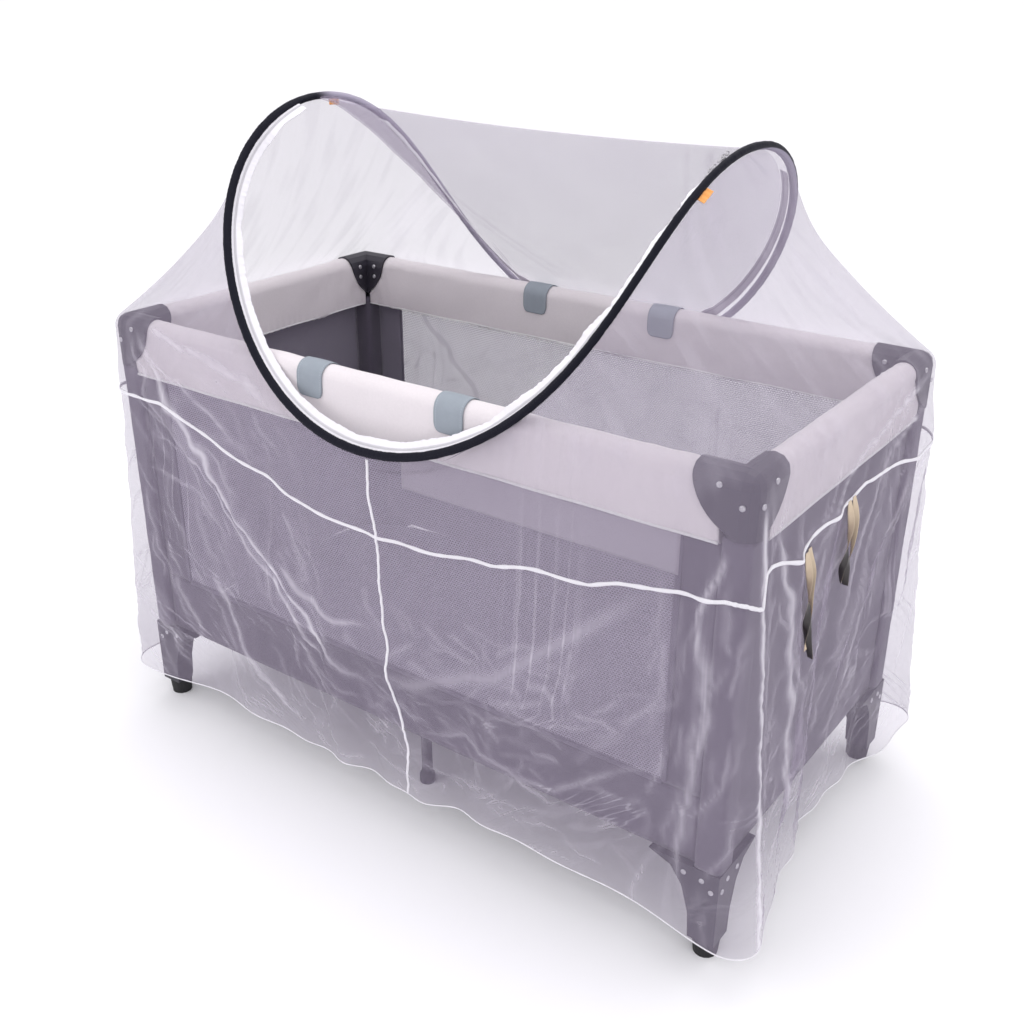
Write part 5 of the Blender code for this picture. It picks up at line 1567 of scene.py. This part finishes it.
class COTNET_OT_tabs(Operator):
    """Two small plain tabs sewn in along the hoop, each a folded scrap of woven tape."""
    bl_idname = "cotnet.tabs"
    bl_label = "Plain tabs"

    def execute(self, context):
        net = context.scene.cotnet_net
        material = finish_once("woven_tab", tab_finish, net)
        for tab in EDGE_TABS:
            low, high = (np.array(corner) - WHOLE_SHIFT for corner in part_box(tab["name"]))
            turn = np.radians(np.array([tab["degrees"] - 0.6, tab["degrees"] + 0.6]))
            line = hoop_points(turn)
            along = unit(line[1] - line[0])
            middle = (low + high) / 2
            out = middle - line.mean(axis=0)
            out = unit(out - along * (out @ along))
            face = np.cross(along, out)
            u = np.linspace(-1, 1, 26)[None]
            v = np.linspace(-1, 1, 12)[:, None]
            fold = 0.0011 * np.sin(u * 4 + 1) * (v + 1) / 2 + 0.0006 * np.cos(u * 9)
            wide = v * TAB_CLOTH_WIDTH / 2 * (1 + 0.03 * np.sin(7 * u))
            grid = middle + along * (u * TAB_LENGTH / 2)[..., None] + out * wide[..., None]
            grid = grid + face * fold[..., None]
            uv = ((v + 1) * TAB_WIDTH / 2, (u + 1) * TAB_LENGTH / 2)
            piece = surface("plain_" + tab["name"], grid, uv=uv)
            thicken(piece, 0.0010)
            dress(piece, material, "tab", tab["name"])
        return {"FINISHED"}


# The cot

def rail_profile():
    """The padded rail's section as (across, up) from its middle.

    It is round on top, its sides belly out a little, and its lower edges are rounded.
    """
    half = RAIL_THICKNESS / 2
    top = RAIL_HEIGHT / 2 - half
    bottom = -RAIL_HEIGHT / 2
    low_round = 0.008
    turn = np.linspace(0, math.pi, 22)
    over = np.column_stack([half * np.cos(turn), top + half * np.sin(turn)])
    rise = np.linspace(0, 1, 14)[1:-1]
    belly = 0.0009 * np.sin(math.pi * rise)
    down = np.column_stack([-half - belly, top + (bottom + low_round - top) * rise])
    left, right = (
        np.column_stack([middle + low_round * np.cos(turn), bottom + low_round + low_round * np.sin(turn)])
        for middle, turn in (
            (-half + low_round, np.linspace(math.pi, 1.5 * math.pi, 5)),
            (half - low_round, np.linspace(1.5 * math.pi, 2 * math.pi, 5)),
        )
    )
    up = np.column_stack([half + belly, bottom + low_round + (top - bottom - low_round) * rise])
    return np.concatenate([over, down, left, right, up])


def rail_end(height, half_length, post):
    """Where the rail's cover ends at each height: the cap wing's circle above, the post below."""
    radius = CAP_RADIUS + SEAM_GAP
    wing = half_length - np.sqrt(np.maximum(radius**2 - (RAIL_TOP - height) ** 2, 0))
    return np.minimum(wing, half_length - post - SEAM_GAP)


RAILS = (
    {"name": "front", "long": True, "side": -1, "half": COT_HALF_X, "post": POST_X},
    {"name": "back", "long": True, "side": 1, "half": COT_HALF_X, "post": POST_X},
    {"name": "left", "long": False, "side": -1, "half": COT_HALF_Y, "post": POST_Y},
    {"name": "right", "long": False, "side": 1, "half": COT_HALF_Y, "post": POST_Y},
)


def rail_place(rail, along, across, up):
    """Cot coordinates of a rail's points: along it, outwards across it, and up from its middle height."""
    middle = (COT_HALF_Y if rail["long"] else COT_HALF_X) - RAIL_THICKNESS / 2
    beside = rail["side"] * (middle + across)
    z = RAIL_TOP - RAIL_HEIGHT / 2 + up
    along, beside, z = np.broadcast_arrays(along, beside, z)
    return np.stack([along, beside, z] if rail["long"] else [beside, along, z], axis=-1)


class COTNET_OT_rails(Operator):
    """Padded rails in their fabric covers, gathered a little along the piping of their lower edge."""
    bl_idname = "cotnet.rails"
    bl_label = "Padded rails"

    def execute(self, context):
        cot = context.scene.cotnet_cot
        material = woven_once("rail_fabric", cot.rail_colour, 0.0017, 0.88, 0.12)
        trim = woven_once("rail_piping", shade(cot.rail_colour, 1.18), 0.0011, 0.8, 0.08)
        for number, rail in enumerate(RAILS):
            profile = rail_profile()
            normal = unit(np.roll(profile, -1, axis=0) - np.roll(profile, 1, axis=0))[:, ::-1] * (1, -1)
            share = np.linspace(-1, 1, 260)[:, None]
            height = RAIL_TOP - RAIL_HEIGHT / 2 + profile[None, :, 1]
            along = share * rail_end(height, rail["half"], rail["post"])
            side_run = np.cumsum(np.linalg.norm(np.diff(profile, axis=0, append=profile[:1]), axis=1))[None]
            low = np.exp(-((height - RAIL_BOTTOM) / 0.020) ** 2)
            near_end = np.exp(-(((rail["half"] - np.abs(along)) / 0.16) ** 2))
            pucker = np.sin(along * 2 * math.pi / 0.017 + 2.5 * soft_noise(along, height * 0, 0.09, 30 + number))
            bulge = near_end * soft_noise(along * 1.4, side_run * 0.7, 0.05, 40 + number)
            lift = 0.0005 * low * pucker + 0.0011 * bulge
            lift = lift + 0.0008 * soft_noise(along * 0.6, side_run, 0.09, 50 + number)
            straps = np.exp(-(((np.abs(along) - STRAP_CENTRE_X) / 0.036) ** 4)) if rail["long"] else 0
            lift = lift * (1 - straps)
            across = profile[None, :, 0] + normal[None, :, 0] * lift
            up = profile[None, :, 1] + normal[None, :, 1] * lift
            grid = capped(rail_place(rail, along, across, up))
            piece = surface("padded_rail_" + rail["name"], grid, closed=True, merge=True)
            dress(piece, material, "rail_fabric", "rail_" + rail["name"])
            self.piping(rail, trim)
        return {"FINISHED"}

    def piping(self, rail, trim):
        """A corded edge along the rail's lower outer corner, and a flat seam along its inner one."""
        reach = rail["half"] - rail["post"] - 0.0012
        for name, across, radius in (
            ("piping", RAIL_THICKNESS / 2 - 0.0006, 0.0023),
            ("inner_seam", -RAIL_THICKNESS / 2 + 0.0004, 0.0014),
        ):
            along = np.linspace(-reach, reach, 240)
            up = -RAIL_HEIGHT / 2 + 0.0042 + 0.0004 * np.sin(along * 37)
            path = rail_place(rail, along, across, up)
            side, face = path_frame(path, (0, 0, 1))
            bead = 1 + 0.05 * np.sin(np.arange(240) * 1.9)
            grid = swept(path, side * bead[:, None], face * bead[:, None], round_profile(radius, radius, 12))
            piece = surface(f"rail_{name}_{rail['name']}", grid, closed=True, merge=True)
            dress(piece, trim, "rail_fabric")


class COTNET_OT_straps(Operator):
    """Webbing straps folded over the long rails, with rounded ends and a stitched border."""
    bl_idname = "cotnet.straps"
    bl_label = "Rail straps"

    def execute(self, context):
        material = finish_once("strap_webbing", strap_finish, context.scene.cotnet_cot)
        half = RAIL_THICKNESS / 2 + 0.0013
        top = RAIL_HEIGHT / 2 - RAIL_THICKNESS / 2
        low = RAIL_HEIGHT / 2 - STRAP_DROP
        turn = np.linspace(0, math.pi, 34)
        drop = np.linspace(low, top, 16)[:-1]
        outer = np.column_stack([np.full(15, half) + 0.0003, drop])
        over = np.column_stack([half * np.cos(turn), top + half * np.sin(turn)])
        line = np.concatenate([outer, over, np.column_stack([-np.full(15, half) - 0.0003, drop[::-1]])])
        run = np.concatenate([[0.0], np.cumsum(np.linalg.norm(np.diff(line, axis=0), axis=1))])
        edge = np.clip(np.minimum(run, run[-1] - run) / 0.016, 0, 1)
        width = STRAP_WIDTH / 2 * (0.62 + 0.38 * np.sqrt(1 - (1 - edge) ** 2))
        u = np.linspace(-1, 1, 19)
        for rail in RAILS[:2]:
            for hand, end in (("left", -1), ("right", 1)):
                along = end * STRAP_CENTRE_X + width[:, None] * u[None]
                crown = 0.0005 * (1 - u[None] ** 2) + 0.0002 * np.sin(run[:, None] * 160)
                scale = (half + crown) / half
                across = line[:, :1] * scale
                up = top + np.where(line[:, 1:] > top, (line[:, 1:] - top) * scale, line[:, 1:] - top)
                grid = rail_place(rail, along, across, up)
                name = f"webbing_strap_{rail['name']}_{hand}"
                uv = (width[:, None] * u[None] + STRAP_WIDTH / 2, run[:, None])
                piece = surface(name, grid, uv=uv, outward=(0, 0, 1))
                thicken(piece, 0.0013, 1.0)
                dress(piece, material, "strap_fabric", f"rail_strap_{rail['name']}_{hand}")
                flat = (sheet_area(grid, False) / run[-1], run[-1])
        return {"FINISHED"}


def walls():
    """The walls in order: name, whether on a long side, which side, span along, span in height, node, finish."""
    whole, window = (-POST_INNER_X, POST_INNER_X), (-WINDOW_HALF_X, WINDOW_HALF_X)
    over, under, full = (WINDOW_BOTTOM, RAIL_BOTTOM), (BRACKET_TOP, WINDOW_BOTTOM), (BRACKET_TOP, RAIL_BOTTOM)
    long_sides = (("front", -1), ("back", 1))
    corners = (("left", (whole[0], window[0])), ("right", (window[1], whole[1])))
    rows = [
        (f"corner_cloth_{face}_{hand}", True, side, span, over, f"corner_panel_{face}_{hand}", "wall")
        for face, side in long_sides for hand, span in corners
    ]
    for name, span, heights, node, finish in (
        ("window_mesh_", window, over, "mesh_window_", "mesh"),
        ("lower_cloth_", whole, under, "lower_band_", "wall"),
    ):
        rows += [(name + face, True, side, span, heights, node + face, finish) for face, side in long_sides]
    across = (-POST_INNER_Y, POST_INNER_Y)
    for face, side in (("left", -1), ("right", 1)):
        rows.append(("end_cloth_" + face, False, side, across, full, "end_wall_" + face, "wall"))
    strip = ((DOOR_STRIP_START_X, WINDOW_HALF_X), (RAIL_BOTTOM - DOOR_STRIP_HEIGHT, RAIL_BOTTOM))
    return rows + [("door_strip_cloth", True, -1, *strip, "door_strip", "door")]


class COTNET_OT_walls(Operator):
    """Cloth walls and mesh windows: sheets stretched between rails, posts and base, a little slack."""
    bl_idname = "cotnet.walls"
    bl_label = "Cloth walls and mesh windows"

    def execute(self, context):
        cot = context.scene.cotnet_cot
        finishes = {
            "wall": wall_fabric(cot),
            "door": woven_once("door_fabric", cot.door_colour, 0.0017, 0.85, 0.10),
            "mesh": finish_once("window_mesh", window_finish, cot),
        }
        lining = woven_once("wall_lining", cot.lining_colour, 0.0019, 0.85, 0.20)
        slots = {"wall": "wall_fabric", "door": "door_fabric", "mesh": "window_mesh"}
        for number, (name, long, side, span, heights, node, finish) in enumerate(walls()):
            width, height = span[1] - span[0], heights[1] - heights[0]
            u = np.linspace(span[0], span[1], max(16, int(width / 0.007)))[None]
            z = np.linspace(heights[1] - SEAM_GAP, heights[0] + SEAM_GAP, max(12, int(height / 0.008)))[:, None]
            a, b = (u - span[0]) / width, (z - heights[0]) / height
            inside = np.clip(np.sin(math.pi * a), 0, 1) ** 0.5 * np.clip(np.sin(math.pi * b), 0, 1) ** 0.5
            slack = 0.0016 * soft_noise(u, z, 0.16, 60 + number) + 0.0007 * soft_noise(u, z, 0.05, 80 + number)
            proud, bulge = (0.0020, 0.0012) if finish == "door" else (0.0, -0.0015)
            away = (COT_HALF_Y if long else COT_HALF_X) - WALL_SETBACK + proud
            u, beside, z = np.broadcast_arrays(u, side * (away + (slack + bulge) * inside), z)
            grid = np.stack([u, beside, z] if long else [beside, u, z], axis=-1)
            piece = surface(name, grid, outward=(0, side, 0) if long else (side, 0, 0))
            wall = thicken(piece, SHEET_THICKNESS) if finish != "mesh" else None
            dress(piece, finishes[finish], slots[finish], node)
            if finish == "wall":
                piece.data.materials.append(lining)
                wall.material_offset = 1
            carrier = "padded_rail_front" if side < 0 else "padded_rail_back"
        self.posts(finishes["wall"])
        self.seams(cot)
        return {"FINISHED"}

    def posts(self, material):
        """Fabric sleeves on the corner tubes: a rounded square section, slightly slack, carried upwards."""
        turn = full_turn(56)
        across, along = squared_circle(turn, POST_SQUARENESS)
        ring = np.stack([POST_X / 2 * across, POST_Y / 2 * along, 0 * turn], axis=-1)
        heights = np.linspace(BRACKET_TOP + SEAM_GAP, RAIL_TOP - CAP_RADIUS - SEAM_GAP, 70)
        for corner, (side_x, side_y) in CORNERS.items():
            loose = soft_noise(turn[None] * 0.03, heights[:, None], 0.11, 70 + side_x + 2 * side_y)
            middle = np.array([side_x * (COT_HALF_X - POST_X / 2), side_y * (COT_HALF_Y - POST_Y / 2), 0])
            grid = middle + ring[None] * (1 - 0.016 * (1 + loose))[..., None]
            grid = grid + np.array([0, 0, 1.0]) * heights[:, None, None]
            piece = surface("post_sleeve_" + corner, capped(grid), closed=True, merge=True)
            dress(piece, material, "wall_fabric", "post_" + corner)

    def seams(self, cot):
        """Bound seams: a flat rounded strip down both sides of each mesh window and along its lower edge."""
        trim = woven_once("wall_binding", shade(cot.wall_colour, 1.35), 0.0011, 0.8, 0.15)
        share = np.linspace(0.002, 0.998, 90)[:, None]
        profile = round_profile(0.0048, 0.0011, 12, 0.8)
        for name, side in (("front", -1), ("back", 1)):
            y = side * (COT_HALF_Y - WALL_SETBACK + 0.0008)
            x = WINDOW_HALF_X - 0.001
            out = np.tile([0.0, side, 0.0], (len(share), 1))
            for part, first, last in (
                ("left", (-x, y, WINDOW_BOTTOM), (-x, y, RAIL_BOTTOM)),
                ("right", (x, y, WINDOW_BOTTOM), (x, y, RAIL_BOTTOM)),
                ("low", (-x, y, WINDOW_BOTTOM), (x, y, WINDOW_BOTTOM)),
            ):
                path = np.array(first) * (1 - share) + np.array(last) * share
                grid = swept(path, np.cross(unit(path[-1] - path[0]), out), out, profile)
                piece = surface(f"window_binding_{name}_{part}", grid, closed=True, merge=True)
                dress(piece, trim, "wall_fabric")


def screw_heads(places):
    """Domed screw heads with a cross recess: for each place its centre and the direction that it faces.

    Height over the seat is a dome of the radius less a cross of two soft slots.
    """
    radius = np.concatenate([np.linspace(0, 1, 9), [1.0]])[:, None]
    turn = full_turn(20)[None]
    u, v = radius * np.cos(turn), radius * np.sin(turn)
    slot = np.maximum(np.exp(-((u / 0.14) ** 4)), np.exp(-((v / 0.14) ** 4))) * (radius < 0.62)
    lift = 0.0021 * np.sqrt(np.clip(1 - (0.92 * radius) ** 2, 0, 1)) - 0.0009 * slot
    lift[-1] = -0.0012
    grids = []
    for centre, facing in places:
        facing = np.array(facing, float)
        side = np.array([0, 0, 1.0])
        flat = u[..., None] * side + v[..., None] * np.cross(facing, side)
        grids.append(np.array(centre) + SCREW_RADIUS * flat + lift[..., None] * facing)
    return np.array(grids)


class COTNET_OT_hardware(Operator):
    """Screws in the caps and foot brackets, turned centre legs, and the padded board on the base."""
    bl_idname = "cotnet.hardware"
    bl_label = "Screws, centre legs and base board"

    def execute(self, context):
        cot = context.scene.cotnet_cot
        steel = finish_once("screw_steel", metal_finish, "screw_steel", (0.62, 0.61, 0.64), 0.25)
        places = []
        for side_x, side_y in CORNERS.values():
            out_x, out_y = COT_HALF_X + CAP_PROUD, COT_HALF_Y + CAP_PROUD
            for rows, face_x, face_y, way in (
                (CAP_SCREWS, out_x, out_y, 1),
                (INNER_CAP_SCREWS, out_x - CAP_DEPTH, out_y - CAP_DEPTH, -1),
                (BRACKET_SCREWS, COT_HALF_X, COT_HALF_Y, 1),
            ):
                for inward, height in rows:
                    x, y = side_x * (COT_HALF_X - inward), side_y * (COT_HALF_Y - inward)
                    places.append(((x, side_y * face_y, height), (0, way * side_y, 0)))
                    places.append(((side_x * face_x, y, height), (way * side_x, 0, 0)))
        piece = surface("cap_and_bracket_screws", screw_heads(places), closed=True, outward=places[0][1])
        dress(piece, steel, "steel_tube")
        self.legs(cot)
        self.board(cot)
        return {"FINISHED"}

    def legs(self, cot):
        """Centre legs: a turned profile with a wider foot and a collar, carried round its axis."""
        top = BASE_TUBE_Z - BASE_TUBE_RADIUS - SEAM_GAP
        profile = np.array([
            (0.0, 0.0), (0.0128, 0.0), (0.0140, 0.0012), (0.0144, 0.004), (0.0142, 0.016), (0.0128, 0.020),
            (0.0104, 0.022), (0.0100, 0.026), (0.0098, 0.07), (0.0100, 0.112), (0.0112, 0.114), (0.0116, 0.118),
            (0.0116, top - 0.002), (0.0106, top), (0.0, top),
        ])
        radius, z = profile[:, :1], profile[:, 1:]
        turn = full_turn(36)[None]
        x, y = radius * np.cos(turn), radius * np.sin(turn)
        for name, side in (("front", -1), ("back", 1)):
            grid = np.stack(np.broadcast_arrays(x, side * CENTRE_LEG_Y + y, z), axis=-1)
            piece = surface("turned_centre_leg_" + name, grid, closed=True, merge=True)
            bevel = piece.modifiers.new("edges", "BEVEL")
            bevel.width = 0.0003
            bevel.segments = 1
            bevel.limit_method = "ANGLE"
            plastic = finish_once("moulded_plastic", plastic_finish, cot)
            dress(piece, plastic, "grey_plastic", "centre_leg_" + name)

    def board(self, cot):
        """The folding board: a thin crowned pad, nearly square in plan, drawn in along three cross seams."""
        half_x = COT_HALF_X - WALL_SETBACK - BASE_BOARD_INSET
        half_y = COT_HALF_Y - WALL_SETBACK - BASE_BOARD_INSET
        low = BASE_TUBE_Z + BASE_TUBE_RADIUS + SEAM_GAP
        plan_x, plan_y = squared_circle(full_turn(180), BASE_BOARD_SQUARENESS)
        share = np.concatenate([np.linspace(0, 0.97, 44), [0.985, 0.995, 1.0]])[:, None]
        x, y = share * (half_x * plan_x)[None], share * (half_y * plan_y)[None]
        rise = (1 - share**22) ** 0.5 * (0.90 + 0.10 * (1 - share**2))
        pinch = sum(np.exp(-(((x - place) / 0.006) ** 2)) for place in (-half_x / 2, 0.0, half_x / 2))
        loft = BASE_BOARD_THICKNESS / 2 * rise * (1 - 0.12 * np.clip(pinch, 0, 1))
        loft = loft + 0.0004 * soft_noise(x, y, 0.10, 90) * (1 - share**6)
        middle = low + BASE_BOARD_THICKNESS / 2
        upper = np.stack([x, y, middle + loft], axis=-1)
        under = np.stack([x, y, middle - np.minimum(loft, BASE_BOARD_THICKNESS / 2)], axis=-1)
        grid = np.concatenate([upper, under[::-1][1:]])
        piece = surface("padded_base_board", grid, closed=True, merge=True)
        dress(piece, wall_fabric(cot), "wall_fabric", "base_board")


class COTNET_OT_finishes(Operator):
    """Better finishes for the frame's nodes whose shape is right."""
    bl_idname = "cotnet.finishes"
    bl_label = "Plastic, tube and rubber finishes"

    def execute(self, context):
        cot = context.scene.cotnet_cot
        groups = (
            (("cap_", "foot_bracket_"), finish_once("moulded_plastic", plastic_finish, cot)),
            (("foot_pad_",), finish_once("foot_rubber", rubber_finish)),
            (("base_frame", "base_cross_tube"), metal_finish("steel_tube", (0.35, 0.35, 0.38), 0.35)),
        )
        for starts, material in groups:
            refinish(material, *[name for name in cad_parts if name.startswith(starts)])
        return {"FINISHED"}


class COTNET_PT_panel(Panel):
    """Lists the pieces."""
    bl_label = "Cot Net"
    bl_idname = "COTNET_PT_panel"
    bl_space_type = "VIEW_3D"
    bl_region_type = "UI"
    bl_category = "Cot Net"

    def draw(self, context):
        for operator in OPERATORS:
            self.layout.operator(operator.bl_idname)
        for group in (context.scene.cotnet_net, context.scene.cotnet_cot, context.scene.cotnet_stage):
            for key in group.__annotations__:
                self.layout.prop(group, key)


OPERATORS = (
    COTNET_OT_stage, COTNET_OT_finishes, COTNET_OT_rails, COTNET_OT_straps, COTNET_OT_walls,
    COTNET_OT_hardware, COTNET_OT_hoop_band, COTNET_OT_net_skirt, COTNET_OT_canopy,
    COTNET_OT_zip_tapes, COTNET_OT_slider_pulls, COTNET_OT_ribbons, COTNET_OT_tabs,
)
SETTINGS = {"cotnet_net": NetSettings, "cotnet_cot": CotSettings, "cotnet_stage": StageSettings}


def register():
    for group in (*SETTINGS.values(), *OPERATORS, COTNET_PT_panel):
        bpy.utils.register_class(group)
    for name, group in SETTINGS.items():
        setattr(bpy.types.Scene, name, PointerProperty(type=group))


def unregister():
    for name in SETTINGS:
        delattr(bpy.types.Scene, name)
    for group in (COTNET_PT_panel, *OPERATORS, *SETTINGS.values()):
        bpy.utils.unregister_class(group)


def main():
    register()
    for operator in OPERATORS:
        group, name = operator.bl_idname.split(".")
        getattr(getattr(bpy.ops, group), name)()


if __name__ == "__main__":
    main()
